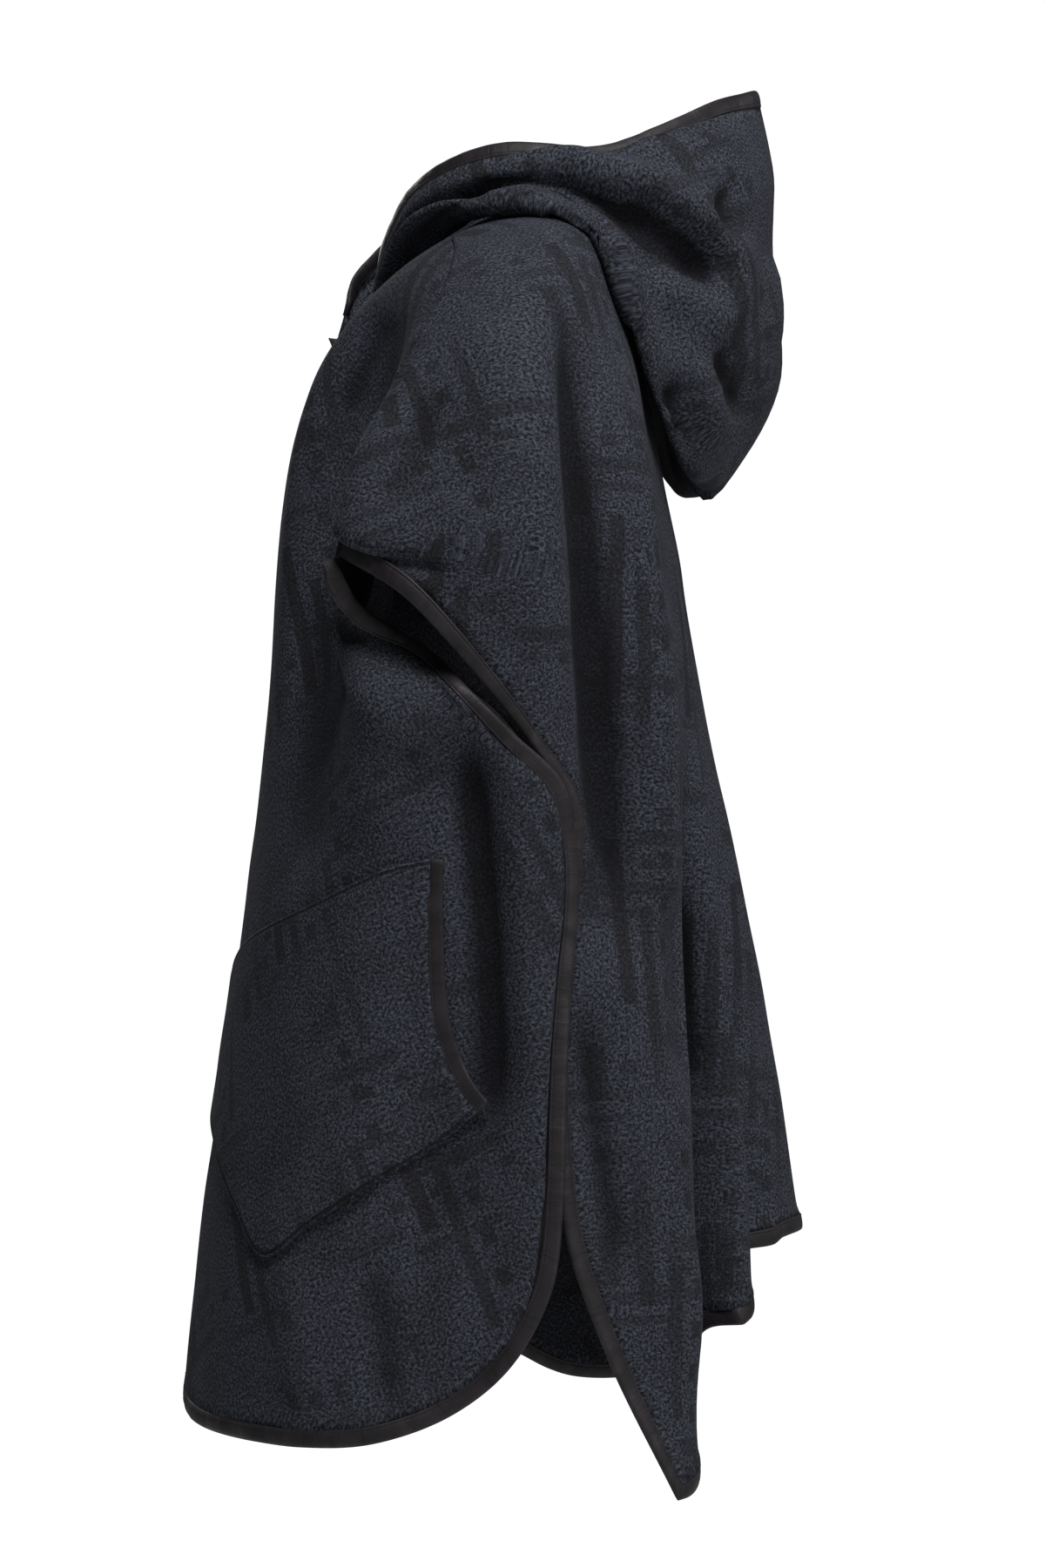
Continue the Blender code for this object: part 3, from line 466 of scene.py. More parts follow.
def sewnLines(points, lines):
    # For each point of a grid, the way to the nearest of its stitch lines, each (side, how far in)
    found = np.full(points.shape[:2] + (2,), 0.05)
    for side, inset in lines:
        grid, nearest = fromEdge(points, side), fromEdge(found, side)
        apart = stepsAlong(grid, 1) - inset
        along = np.broadcast_to(stepsAlong(grid[:, :1], 0), apart.shape)
        nearer = np.abs(apart) < np.abs(nearest[..., 0])
        nearest[nearer] = np.stack([apart, along], axis=2)[nearer]
    return found


def softNoise(points, scale, seed):
    # Slow even noise at each point of a grid, about -1 to 1
    shift = Vector((seed * 7.31, seed * 3.17, seed * 5.53))
    flat = [noise.noise(Vector(point) * scale + shift) for point in points.reshape(-1, 3)]
    return np.array(flat).reshape(points.shape[:2])


def sideView(points):
    # Where points stand as the camera sees their side: along and up, at the middle plane's scale
    away, along, up = view["place"]
    grow = away / (away - np.abs(points[..., 0]))
    return np.stack([(points[..., 1] - along) * grow, (points[..., 2] - up) * grow], axis=-1)


# A fold fades in and out over these shares of its way, and where the cloth no longer faces its side
foldFade = {"in": 0.25, "out": 0.3, "facing": (-0.10, 0.30), "middle": (0.004, 0.020)}


def creaseDepth(points, normals, side, creases):
    # How far the listed folds move the cloth outwards
    total = np.zeros(points.shape[:2])
    least, fade = foldFade["facing"]
    facing = ease((normals[..., 0] * side - least) / fade)
    least, fade = foldFade["middle"]
    facing = facing * ease((points[..., 0] * side - least) / fade)
    seen = sideView(points)
    for wide, outBy, way in creases:
        way = np.array(way)
        nearest = np.full(points.shape[:2], 1e9)
        place = np.zeros(points.shape[:2])
        lengths = np.concatenate([[0.0], np.cumsum(np.linalg.norm(np.diff(way, axis=0), axis=1))])
        for k in range(len(way) - 1):
            run = way[k + 1] - way[k]
            offset = seen - way[k]
            t = np.clip(offset @ run / (run @ run), 0.0, 1.0)
            apart = np.linalg.norm(offset - t[..., None] * run, axis=2)
            closer = apart < nearest
            nearest = np.where(closer, apart, nearest)
            place = np.where(closer, lengths[k] + t * (lengths[k + 1] - lengths[k]), place)
        share = place / lengths[-1]
        fade = ease(share / foldFade["in"]) * ease((1.0 - share) / foldFade["out"])
        total += outBy * np.exp(-(nearest / wide) ** 2) * fade * facing
    return total


# The cut of each kind of cloth panel that shows. lean turns the left one's weave from the row lines, in
# degrees, and sewn lists the stitch lines, each with its edge and how far in it lies
panelCuts = {
    "front": {"flat": (0.43, 0.82), "area": 0.27, "lean": 27.0, "levelRow": 10, "settle": 4, "seed": 1.0,
              "sewn": [("first column", 0.0045)]},
    "back_panel": {"flat": (0.92, 0.90), "area": 0.584, "lean": -15.0, "levelRow": 10, "settle": 8,
                   "seed": 3.0, "sewn": [], "cornerRow": 7},
    "hood": {"flat": (0.42, 0.41), "area": 0.091, "lean": 10.0, "levelRow": 0, "settle": 10, "seed": 4.0,
             "sewn": [("last column", 0.0)]},
    "pocket": {"flat": (0.32, 0.27), "area": 0.0486, "lean": 27.0, "levelRow": 0, "settle": 2, "seed": 6.0,
               "sewn": [("first row", 0.0028), ("last row", 0.0028), ("first column", 0.0028)]},
}
# The cloth itself: tuck is how far it runs into its binding, and uneven how far it waves in and out
# hollowReach and troughShare set how much shade is painted in the cloth's hollows and fold troughs
cloth = {"thick": 0.0026, "spacing": 0.0042, "tuck": 0.0030, "seamOverlap": 0.0010, "uneven": 0.0012,
         "unevenScale": 16.0, "unevenRim": 0.06, "clear": 0.0006, "hollowReach": 60, "troughShare": 0.35}

# Main folds: how wide each is (metres to where it has faded by two thirds), how far out
# it stands (or in, below zero), and its way over the side view. The first of each are the main ones
hoodFolds = [
    # wide, out by, way
    (0.0075, -0.0098, [(-0.087, 0.361), (-0.064, 0.382), (-0.042, 0.401), (-0.023, 0.411), (0.004, 0.414),
                       (0.029, 0.412), (0.053, 0.401), (0.075, 0.385), (0.094, 0.369), (0.108, 0.358),
                       (0.120, 0.349)]),
    (0.0110, 0.0091, [(-0.078, 0.360), (-0.050, 0.391), (-0.023, 0.401), (0.010, 0.407), (0.037, 0.396),
                      (0.056, 0.377), (0.067, 0.355), (0.083, 0.317), (0.094, 0.268), (0.100, 0.227)]),
    (0.0130, 0.0149, [(-0.015, 0.423), (0.021, 0.427), (0.059, 0.421), (0.094, 0.407), (0.127, 0.380),
                      (0.143, 0.358), (0.146, 0.333), (0.141, 0.309), (0.130, 0.290)]),
    (0.0120, -0.0169, [(0.054, 0.405), (0.081, 0.397), (0.108, 0.378), (0.127, 0.353), (0.133, 0.333)]),
    (0.0120, 0.0104, [(0.075, 0.349), (0.114, 0.333), (0.140, 0.311), (0.150, 0.288)]),
    (0.0090, -0.0137, [(0.148, 0.329), (0.140, 0.295), (0.151, 0.268), (0.147, 0.240)]),
    (0.0085, -0.0104, [(0.145, 0.420), (0.139, 0.396), (0.143, 0.371)]),
    (0.0090, 0.0052, [(0.166, 0.366), (0.172, 0.330), (0.168, 0.294)]),
    (0.0120, -0.0111, [(0.101, 0.288), (0.107, 0.252), (0.115, 0.216)]),
    (0.0080, 0.0044, [(0.113, 0.295), (0.129, 0.264), (0.140, 0.241)]),
    (0.0100, 0.0044, [(0.060, 0.444), (0.096, 0.435), (0.138, 0.441), (0.161, 0.450)]),
    (0.0090, -0.0044, [(0.024, 0.434), (0.072, 0.428), (0.114, 0.426), (0.150, 0.432)]),
]
backFolds = [
    (0.0300, 0.0097, [(-0.024, 0.366), (-0.015, 0.300), (-0.006, 0.228), (0.000, 0.150), (0.009, 0.078)]),
    (0.0150, -0.0165, [(0.024, 0.383), (0.031, 0.336), (0.038, 0.252), (0.045, 0.168), (0.054, 0.060),
                       (0.060, -0.030), (0.064, -0.114)]),
    (0.0130, 0.0083, [(0.056, 0.360), (0.070, 0.282), (0.080, 0.192), (0.089, 0.096), (0.097, 0.000),
                      (0.105, -0.096)]),
    (0.0080, -0.0067, [(0.073, 0.342), (0.085, 0.258), (0.096, 0.168), (0.105, 0.084)]),
    (0.0160, -0.0060, [(-0.057, 0.282), (-0.073, 0.240), (-0.090, 0.204), (-0.101, 0.180)]),
    (0.0130, 0.0053, [(-0.036, 0.204), (-0.048, 0.156), (-0.042, 0.120)]),
    (0.0200, 0.0060, [(0.054, -0.090), (0.067, -0.180), (0.078, -0.270), (0.089, -0.348)]),
    (0.0130, -0.0067, [(0.041, -0.132), (0.050, -0.204), (0.060, -0.276), (0.074, -0.360)]),
    (0.0150, -0.0075, [(0.102, -0.060), (0.109, -0.150), (0.114, -0.228)]),
]
frontFolds = [
    (0.0150, -0.0105, [(-0.042, 0.060), (-0.033, -0.030), (-0.024, -0.108), (-0.021, -0.180),
                       (-0.020, -0.270)]),
    (0.0130, 0.0063, [(-0.006, 0.030), (0.002, -0.060), (0.007, -0.150), (0.004, -0.252)]),
    (0.0090, 0.0022, [(-0.058, 0.318), (-0.080, 0.270), (-0.100, 0.226)]),
    (0.0100, -0.0049, [(-0.090, 0.330), (-0.113, 0.282), (-0.130, 0.240)]),
    (0.0200, -0.0070, [(-0.137, 0.156), (-0.144, 0.084), (-0.149, 0.000), (-0.150, -0.084)]),
    (0.0220, 0.0056, [(-0.102, 0.084), (-0.105, 0.012), (-0.114, -0.048)]),
    (0.0180, 0.0056, [(-0.162, -0.324), (-0.153, -0.384), (-0.150, -0.438)]),
    (0.0160, -0.0063, [(-0.108, -0.318), (-0.096, -0.384), (-0.093, -0.444)]),
    (0.0160, 0.0049, [(-0.048, -0.288), (-0.042, -0.348), (-0.051, -0.414)]),
]


def otherSide(folds, drift, share):
    # Folds for the side that isn't shown: like those shown, each moved a little and of another depth
    turned = []
    for k, (wide, outBy, way) in enumerate(folds):
        along = drift * math.sin(2.1 * k + 0.7)
        up = drift * math.cos(1.3 * k)
        deep = share + 0.25 * math.cos(1.7 * k)
        turned.append((wide, outBy * deep, [(y + along, z + up) for y, z in way]))
    return turned


creaseTable = {
    ("hood_left", 1): hoodFolds, ("hood_right", -1): otherSide(hoodFolds, 0.006, 0.85),
    ("back_panel", 1): backFolds, ("back_panel", -1): otherSide(backFolds, 0.012, 0.90),
    ("front_left", 1): frontFolds, ("front_right", -1): otherSide(frontFolds, 0.010, 0.90),
}


# Above the armholes the back's rows change their spacing: there the cloth follows the rows around
band = {"around": 14.0, "beside": 3.0, "near": 0.014, "columns": (11.0, 1.5), "fade": 5.0, "easeBy": 14,
        "fitFacing": 0.25, "facing": (0.20, 0.30)}


def smoothBand(points, normals, first, last):
    # Sets how far out the cloth stands between two rows by a smooth fit to the rows above and below
    row = np.arange(len(points))[:, None]
    column = np.arange(points.shape[1])
    inwards = np.minimum(column, column[::-1])[None, :]
    out = np.maximum(first - row, row - last)
    start = np.interp(row, [first, last], band["columns"])
    least, fade = band["facing"]
    for side in (1.0, -1.0):
        facing = normals[..., 0] * side
        given = (out > 1.0) & (out < band["around"]) & (facing > band["fitFacing"]) & (inwards > 1)
        share = ease(1.3 - out / band["beside"]) * ease((facing - least) / fade)
        share = share * ease((inwards - start) / band["fade"])
        seats, heights = points[given][:, 1:], points[given][:, 0]
        fitted = points[..., 0].copy()
        for place in zip(*np.nonzero(share > 0.001)):
            apart = (seats - points[place][1:]) / band["near"]
            trust = np.exp(-0.5 * np.sum(apart ** 2, axis=1)) + 1e-9
            terms = np.stack([np.ones(len(apart)), apart[:, 0], apart[:, 1], apart[:, 0] ** 2,
                              apart[:, 0] * apart[:, 1], apart[:, 1] ** 2], axis=1)
            weighed = terms * trust[:, None]
            fitted[place] = np.linalg.solve(weighed.T @ terms + np.eye(6) * 1e-6, weighed.T @ heights)[0]
        points[..., 0] += (fitted - points[..., 0]) * share
    return points


# Painted shadow on the front below the armhole's upper corner, where little light falls
sleeveShadow = {"centre": (0.226, -0.108, -0.280), "reach": (0.027, 0.027, 0.070), "deep": 0.0095}


def buildPanel(node, knit, bound=(), fromRow=0.0, under=()):
    kind, side = kindOf(node), sideOf(node)
    cut = panelCuts[kind]
    seed = cut["seed"] + (1.0 if side < 0.0 else 0.0)
    cornerRow = cut.get("cornerRow")
    middle, coarse = readWall(node)
    points = settle(refine(middle, cloth["spacing"], None, cornerRow), cut["settle"])
    normals = gridNormals(points, coarse)
    if cornerRow:
        knots = meanKnots(middle, 0) / meanKnots(middle, 0)[-1] * (len(points) - 1)
        first, last = knots[cornerRow], knots[cornerRow + 1]
        points = smoothBand(points, normals, first, last)
        normals = gridNormals(points, coarse)
    moved = softNoise(points, cloth["unevenScale"], seed) * cloth["uneven"]
    share = np.linspace(0, 1, points.shape[1])
    moved *= ease(np.minimum(share, 1 - share)[None, :] / cloth["unevenRim"])
    for creaseSide in ((1, -1) if kind == "back_panel" else (side,)):
        moved += creaseDepth(points, normals, creaseSide, creaseTable.get((node, creaseSide), ()))
    points = points + normals * moved[..., None]
    if under:
        points = keepClear(points, under, cloth["thick"] + cloth["clear"])
    points = extendEdges(points, bound, cloth["tuck"], fromRow)
    if kind == "hood":
        points[:, -1, 0] = -side * cloth["seamOverlap"]
    startColumn = middle.shape[1] // 2 if kind == "back_panel" else 0
    lay = flatLay(middle, cut["lean"] * side, cut["levelRow"], startColumn)
    flat = refine(lay, cloth["spacing"], middle, cornerRow)
    if cornerRow:
        flat = easeLay(flat, points, int(first) - band["easeBy"], int(last) + band["easeBy"])
    # Painted shade: the cloth is painted darker by how deep it lies in its hollows and fold troughs
    hollow = hollowness(points, normals, cloth["hollowReach"])
    hollow += cloth["troughShare"] * np.maximum(-moved, 0.0)
    # On the fronts, painted shadow below the sleeve
    if kind == "front":
        apart = (points - np.array(sleeveShadow["centre"]) * (side, 1.0, 1.0)) / sleeveShadow["reach"]
        hollow += sleeveShadow["deep"] * np.exp(-np.sum(apart ** 2, axis=2))
    bm = gridMesh(points, flat, sewnLines(points, cut["sewn"]), hollow)
    if facesInward(bm, points, normals):
        bmesh.ops.reverse_faces(bm, faces=bm.faces)
    panel = addPiece("cloth_" + node, bm, knit)
    wall = panel.modifiers.new("thickness", "SOLIDIFY")
    wall.thickness = cloth["thick"]
    wall.offset = 0.0
    wall.use_even_offset = False
    # The inner faces get the knit darkened as painted shade
    panel.data.materials.append(knitPaintedShadeInside)
    wall.material_offset = 1
    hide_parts(node)
    print(node, points.shape)
    return panel


# Degrees of turn: past corner the strip has a sharp corner, and past doubledBack it ends
binding = {"spacing": 0.0030, "start": 0.0005, "corner": 68.0, "doubledBack": 150.0, "around": 0.012,
           "wrinkle": 0.00035, "wrinkleScale": 120.0}
# Half the section of a binding, from its inner lip to its outer edge
bindingSection = [
    # share of the width, share of the half thickness
    (0.0, 0.60), (0.02, 0.86), (0.07, 1.0), (0.13, 0.98), (0.17, 0.90), (0.22, 0.98), (0.45, 1.06),
    (0.70, 1.0), (0.86, 0.80), (0.96, 0.45), (1.0, 0.0),
]


def sharpStations(line, least):
    # The stations where a line turns sharply, with its two ends
    step = np.diff(line, axis=0)
    step /= np.linalg.norm(step, axis=1, keepdims=True)
    turn = np.degrees(np.arccos(np.clip(np.sum(step[1:] * step[:-1], axis=1), -1.0, 1.0)))
    return [0] + [k + 1 for k, angle in enumerate(turn) if angle > least] + [len(line) - 1]


def curveInRuns(knots, values, places, corners):
    # Smooth curves between sharp corners
    found = np.empty((len(places),) + values.shape[1:])
    for first, last in zip(corners[:-1], corners[1:]):
        inside = (places >= knots[first] - 1e-9) & (places <= knots[last] + 1e-9)
        run = slice(first, last + 1)
        if last - first == 1:
            share = ((places[inside] - knots[first]) / (knots[last] - knots[first])).reshape(-1, 1, 1)
            found[inside] = values[first] * (1.0 - share) + values[last] * share
        else:
            found[inside] = curveThrough(knots[run], values[run], places[inside])
    return found


def buildBinding(node, satin, seed, panel):
    # A folded strip round an edge: flat lips on both sides of the cloth, a round outer edge, soft wrinkles
    middle, normal = readWall(node)
    tree = pieceTree(panel)
    lie = [np.mean([tree.find_nearest(Vector(spot))[3] for spot in middle[:, k]]) for k in (0, 1)]
    if lie[1] < lie[0]:
        middle, normal = middle[:, ::-1], normal[:, ::-1]
    end = sharpStations(middle.mean(axis=1), binding["doubledBack"])[1] + 1
    middle, normal = middle[:end], normal[:end]
    knots = meanKnots(middle, 0)
    corners = sharpStations(middle.mean(axis=1), binding["corner"])
    places = np.linspace(0.0, knots[-1], round(knots[-1] / binding["spacing"]) + 1)
    line = curveInRuns(knots, middle, places, corners)
    away = curveInRuns(knots, normal, places, corners)[:, 0]
    along = np.gradient(line.mean(axis=1), axis=0)
    along /= np.linalg.norm(along, axis=1, keepdims=True)
    away -= along * np.sum(away * along, axis=1, keepdims=True)
    away /= np.linalg.norm(away, axis=1, keepdims=True)
    across = line[:, 1] - line[:, 0]
    wide = np.linalg.norm(across, axis=1, keepdims=True)
    start = line[:, 0] + across / wide * binding["start"]
    across = across * (1.0 - binding["start"] / wide)
    half = walls[kindOf(node)]["thick"] / 2.0
    under = [(share, -high) for share, high in bindingSection[-2::-1]]
    section = bindingSection + under + bindingSection[:1]
    points = np.zeros((len(places), len(section), 3))
    flat = np.zeros((len(places), len(section), 2))
    for k, (share, high) in enumerate(section):
        points[:, k] = start + across * share + away * (half * high)
        flat[:, k, 0] = places
        flat[:, k, 1] = (share if high >= 0.0 else 2.0 - share) * binding["around"]
    wrinkle = softNoise(points, binding["wrinkleScale"], seed) * binding["wrinkle"]
    faces = np.sign([high for _, high in section])[None, :, None]
    points = points + away[:, None, :] * wrinkle[..., None] * faces
    bm = gridMesh(points, flat)
    bmesh.ops.remove_doubles(bm, verts=bm.verts, dist=1e-6)
    bmesh.ops.holes_fill(bm, edges=[edge for edge in bm.edges if len(edge.link_faces) == 1], sides=0)
    bmesh.ops.recalc_face_normals(bm, faces=bm.faces)
    strip = addPiece("strip_" + node, bm, satin)
    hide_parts(node)
    print(node, points.shape)
    return strip


def newGroup(name, inputs, outputs):
    # An empty shader node group with named sockets: (name, kind, value) each
    group = bpy.data.node_groups.new(name, "ShaderNodeTree")
    for label, kind, value in inputs:
        socket = group.interface.new_socket(label, in_out="INPUT", socket_type="NodeSocket" + kind)
        if value is not None:
            socket.default_value = value
    for label, kind in outputs:
        group.interface.new_socket(label, in_out="OUTPUT", socket_type="NodeSocket" + kind)
    return group, group.nodes.new("NodeGroupInput"), group.nodes.new("NodeGroupOutput")


def addMath(tree, operation, first, second=None, third=None):
    # A math node fed by sockets or numbers; gives back its output
    node = tree.nodes.new("ShaderNodeMath")
    node.operation = operation
    for k, value in enumerate((first, second, third)):
        if value is None:
            continue
        if isinstance(value, (int, float)):
            node.inputs[k].default_value = value
        else:
            tree.links.new(value, node.inputs[k])
    return node.outputs[0]


def addNoise(tree, vector, scale, detail=2.0, rough=0.5, stretch=None, distortion=0.0):
    if stretch:
        mapping = tree.nodes.new("ShaderNodeMapping")
        mapping.inputs["Scale"].default_value = stretch
        tree.links.new(vector, mapping.inputs["Vector"])
        vector = mapping.outputs["Vector"]
    node = tree.nodes.new("ShaderNodeTexNoise")
    node.inputs["Scale"].default_value = scale
    node.inputs["Detail"].default_value = detail
    node.inputs["Roughness"].default_value = rough
    node.inputs["Distortion"].default_value = distortion
    tree.links.new(vector, node.inputs["Vector"])
    return node.outputs["Fac"]


def addRange(tree, value, low, high, toLow=0.0, toHigh=1.0, smooth=True):
    node = tree.nodes.new("ShaderNodeMapRange")
    node.interpolation_type = "SMOOTHSTEP" if smooth else "LINEAR"
    for label, given in (("Value", value), ("From Min", low), ("From Max", high), ("To Min", toLow),
                         ("To Max", toHigh)):
        if isinstance(given, (int, float)):
            node.inputs[label].default_value = given
        else:
            tree.links.new(given, node.inputs[label])
    return node.outputs["Result"]


def addMix(tree, share, first, second):
    node = tree.nodes.new("ShaderNodeMix")
    node.data_type = "RGBA"
    for k, value in ((0, share), (6, first), (7, second)):
        if isinstance(value, (int, float)):
            node.inputs[k].default_value = value
        elif isinstance(value, tuple):
            node.inputs[k].default_value = (*value, 1.0)
        else:
            tree.links.new(value, node.inputs[k])
    return node.outputs[2]


def addUv(tree, name):
    uv = tree.nodes.new("ShaderNodeUVMap")
    uv.uv_map = name
    return uv.outputs["UV"]


def addSplit(tree, vector):
    split = tree.nodes.new("ShaderNodeSeparateXYZ")
    tree.links.new(vector, split.inputs["Vector"])
    return split.outputs


def addBeat(tree, along, pitch):
    # A wave from -1 to 1 that repeats each pitch
    return addMath(tree, "SINE", addMath(tree, "MULTIPLY", along, math.tau / pitch))


def weigh(tree, value, share):
    # One value times another
    return addMath(tree, "MULTIPLY", value, share)


def addBump(tree, shader, height, strength, distance):
    bump = tree.nodes.new("ShaderNodeBump")
    bump.inputs["Strength"].default_value = strength
    bump.inputs["Distance"].default_value = distance
    tree.links.new(height, bump.inputs["Height"])
    tree.links.new(bump.outputs["Normal"], shader.inputs["Normal"])


def newMaterial(name):
    # A material with its node tree and its surface shader
    material = bpy.data.materials.new(name)
    material.use_nodes = True
    return material, material.node_tree, material.node_tree.nodes["Principled BSDF"]


def makeDashRow():
    # A row of soft dashes that repeats: a band across times a beat along, all in metres
    sockets = {"Across": 0.0, "Along": 0.0, "Centre": 0.0, "Width": 0.012, "Repeat": 0.2, "Phase": 0.0,
               "Length": 0.04, "Pitch": 0.07, "Soft": 0.0008}
    inputs = [(label, "Float", value) for label, value in sockets.items()]
    group, start, end = newGroup("dashRow", inputs, [("Mask", "Float")])
    masks = []
    for place, middle, size, repeat in (("Across", "Centre", "Width", "Repeat"),
                                        ("Along", "Phase", "Length", "Pitch")):
        shifted = addMath(group, "SUBTRACT", start.outputs[place], start.outputs[middle])
        half = weigh(group, start.outputs[repeat], 0.5)
        minus = weigh(group, start.outputs[repeat], -0.5)
        apart = addMath(group, "ABSOLUTE", addMath(group, "WRAP", shifted, half, minus))
        edge = weigh(group, start.outputs[size], 0.5)
        masks.append(addRange(group, apart, addMath(group, "ADD", edge, start.outputs["Soft"]),
                              addMath(group, "SUBTRACT", edge, start.outputs["Soft"])))
    group.links.new(addMath(group, "MULTIPLY", masks[0], masks[1]), end.inputs["Mask"])
    return group


# The plaid: broken tonal dashes down the cloth and across it. centre, width and repeat lie across the
# row, phase, length and pitch along it, in metres, and strength is how dark the dashes are
plaidRows = [
    # way, centre, width, repeat, phase, length, pitch, strength
    ("down", 0.012, 0.0105, 0.142, 0.010, 0.104, 0.190, 1.00),
    ("down", 0.030, 0.0085, 0.142, 0.045, 0.118, 0.205, 0.85),
    ("down", 0.046, 0.0090, 0.142, 0.000, 0.011, 0.027, 0.90),
    ("down", 0.063, 0.0070, 0.142, 0.090, 0.090, 0.230, 0.75),
    ("down", 0.098, 0.0130, 0.197, 0.060, 0.034, 0.117, 0.85),
    ("down", 0.119, 0.0070, 0.197, 0.030, 0.086, 0.170, 0.70),
    ("across", 0.020, 0.0095, 0.128, 0.050, 0.072, 0.135, 0.70),
    ("across", 0.036, 0.0075, 0.128, 0.010, 0.010, 0.026, 0.80),
    ("across", 0.052, 0.0085, 0.128, 0.090, 0.096, 0.180, 0.60),
    ("across", 0.067, 0.0060, 0.128, 0.020, 0.060, 0.150, 0.60),
    ("across", 0.115, 0.0100, 0.231, 0.020, 0.044, 0.150, 0.70),
]


def makePlaid():
    # Dark dashes and dotted blocks as two masks, frayed at their edges and broken up by slow noise
    outputs = [("Dashes", "Float"), ("Dots", "Float")]
    group, start, end = newGroup("brokenPlaid", [("Vector", "Vector", None)], outputs)
    place = start.outputs["Vector"]
    frayed = addMath(group, "MULTIPLY_ADD", addNoise(group, place, 420.0, 2.0), 0.0020, -0.0010)
    split = addSplit(group, place)
    x = addMath(group, "ADD", split["X"], frayed)
    y = addMath(group, "ADD", split["Y"], frayed)
    row = makeDashRow()
    total = None
    for way, *sizes, strength in plaidRows:
        node = group.nodes.new("ShaderNodeGroup")
        node.node_tree = row
        across, along = (x, y) if way == "down" else (y, x)
        group.links.new(across, node.inputs["Across"])
        group.links.new(along, node.inputs["Along"])
        for label, value in zip(("Centre", "Width", "Repeat", "Phase", "Length", "Pitch"), sizes):
            node.inputs[label].default_value = value
        faded = weigh(group, node.outputs["Mask"], strength)
        total = faded if total is None else addMath(group, "MAXIMUM", total, faded)
    worn = addRange(group, addNoise(group, place, 9.0, 1.0), 0.38, 0.52, 0.15, 1.0)
    group.links.new(weigh(group, total, worn), end.inputs["Dashes"])
    # Blocks of small dots in patches set by slow noise
    cell = 0.0046
    dots = weigh(group, addBeat(group, x, cell), addBeat(group, y, cell))
    patch = addRange(group, addNoise(group, place, 26.0, 0.0), 0.56, 0.62)
    group.links.new(weigh(group, addRange(group, dots, 0.1, 0.5), patch), end.inputs["Dots"])
    return group


# The darkest colour here, with deep and deepShade, is painted shade for the cloth's hollows
knitLook = {"base": (0.0270, 0.0295, 0.0395), "dark": (0.0115, 0.0110, 0.0125),
            "pale": (0.0740, 0.0800, 0.0990), "fleck": (0.0070, 0.0068, 0.0080),
            "hollow": (0.0035, 0.0034, 0.0042), "deep": 0.0070, "deepShade": 0.82, "rough": 0.95,
            "sheen": 0.012, "sheenRough": 0.45, "sheenTint": (0.45, 0.50, 0.60), "specular": 0.12,
            "inside": 0.38, "stitchPitch": 0.0035}


def knitMaterial(name, shade):
    # Napped melange knit: plaid in two darks, flecks a stitch wide, a soft fibrous bump and a little sheen
    material, tree, shader = newMaterial(name)
    flat = addUv(tree, "clothUv")
    plaid = tree.nodes.new("ShaderNodeGroup")
    plaid.node_tree = makePlaid()
    tree.links.new(flat, plaid.inputs["Vector"])
    dashes, dots = plaid.outputs["Dashes"], plaid.outputs["Dots"]
    fleck = addNoise(tree, flat, 520.0, 2.0, 0.75)
    tuft = addNoise(tree, flat, 240.0, 1.0, 0.6)
    slow = addNoise(tree, flat, 22.0, 2.0, 0.5)
    lighter = tuple(1.18 * c for c in knitLook["base"])
    colour = addMix(tree, addRange(tree, slow, 0.35, 0.7), knitLook["base"], lighter)
    colour = addMix(tree, weigh(tree, addRange(tree, fleck, 0.515, 0.61), 0.80), colour, knitLook["pale"])
    colour = addMix(tree, weigh(tree, addRange(tree, fleck, 0.485, 0.40), 0.92), colour, knitLook["fleck"])
    colour = addMix(tree, weigh(tree, dashes, 0.66), colour, knitLook["dark"])
    colour = addMix(tree, weigh(tree, dots, 0.55), colour, knitLook["dark"])
    # Painted shade: towards a near-black where the cloth lies deep in its hollows, fold troughs and below
    # the sleeve
    hollow = tree.nodes.new("ShaderNodeAttribute")
    hollow.attribute_name = "hollow"
    deep = addRange(tree, hollow.outputs["Fac"], 0.0, knitLook["deep"], 0.0, knitLook["deepShade"], False)
    colour = addMix(tree, deep, colour, knitLook["hollow"])
    shader.inputs["Roughness"].default_value = knitLook["rough"]
    shader.inputs["Specular IOR Level"].default_value = knitLook["specular"]
    shader.inputs["Sheen Weight"].default_value = knitLook["sheen"]
    shader.inputs["Sheen Roughness"].default_value = knitLook["sheenRough"]
    shader.inputs["Sheen Tint"].default_value = (*knitLook["sheenTint"], 1.0)
    # Stitch lines: a ditch in the nap, with a darker beat of stitches in it
    line = addSplit(tree, addUv(tree, "sewnUv"))
    ditch = addRange(tree, addMath(tree, "ABSOLUTE", line["X"]), 0.0016, 0.0003)
    beat = addRange(tree, addBeat(tree, line["Y"], knitLook["stitchPitch"]), -0.5, 0.5, 0.55, 0.85)
    colour = addMix(tree, weigh(tree, ditch, beat), colour, knitLook["fleck"])
    # Painted shade: the whole colour darkened towards black by the shade given
    colour = addMix(tree, 1.0 - shade, colour, (0.0, 0.0, 0.0))
    tree.links.new(colour, shader.inputs["Base Color"])
    height = addMath(tree, "ADD", weigh(tree, fleck, 0.55), weigh(tree, tuft, 0.9))
    height = addMath(tree, "SUBTRACT", height, weigh(tree, ditch, 1.3))
    height = addMath(tree, "SUBTRACT", height, weigh(tree, dashes, 0.25))
    addBump(tree, shader, height, 0.75, 0.0011)
    return material


# fold is the paler colour of the satin's painted sheen on its folds
satinLook = {"base": (0.0105, 0.0090, 0.0104), "fold": (0.0230, 0.0190, 0.0225),
             "thread": (0.008, 0.007, 0.009), "rough": 0.46, "specular": 0.28, "stitch": 0.0021,
             "pitch": 0.0032, "rib": 0.0007}


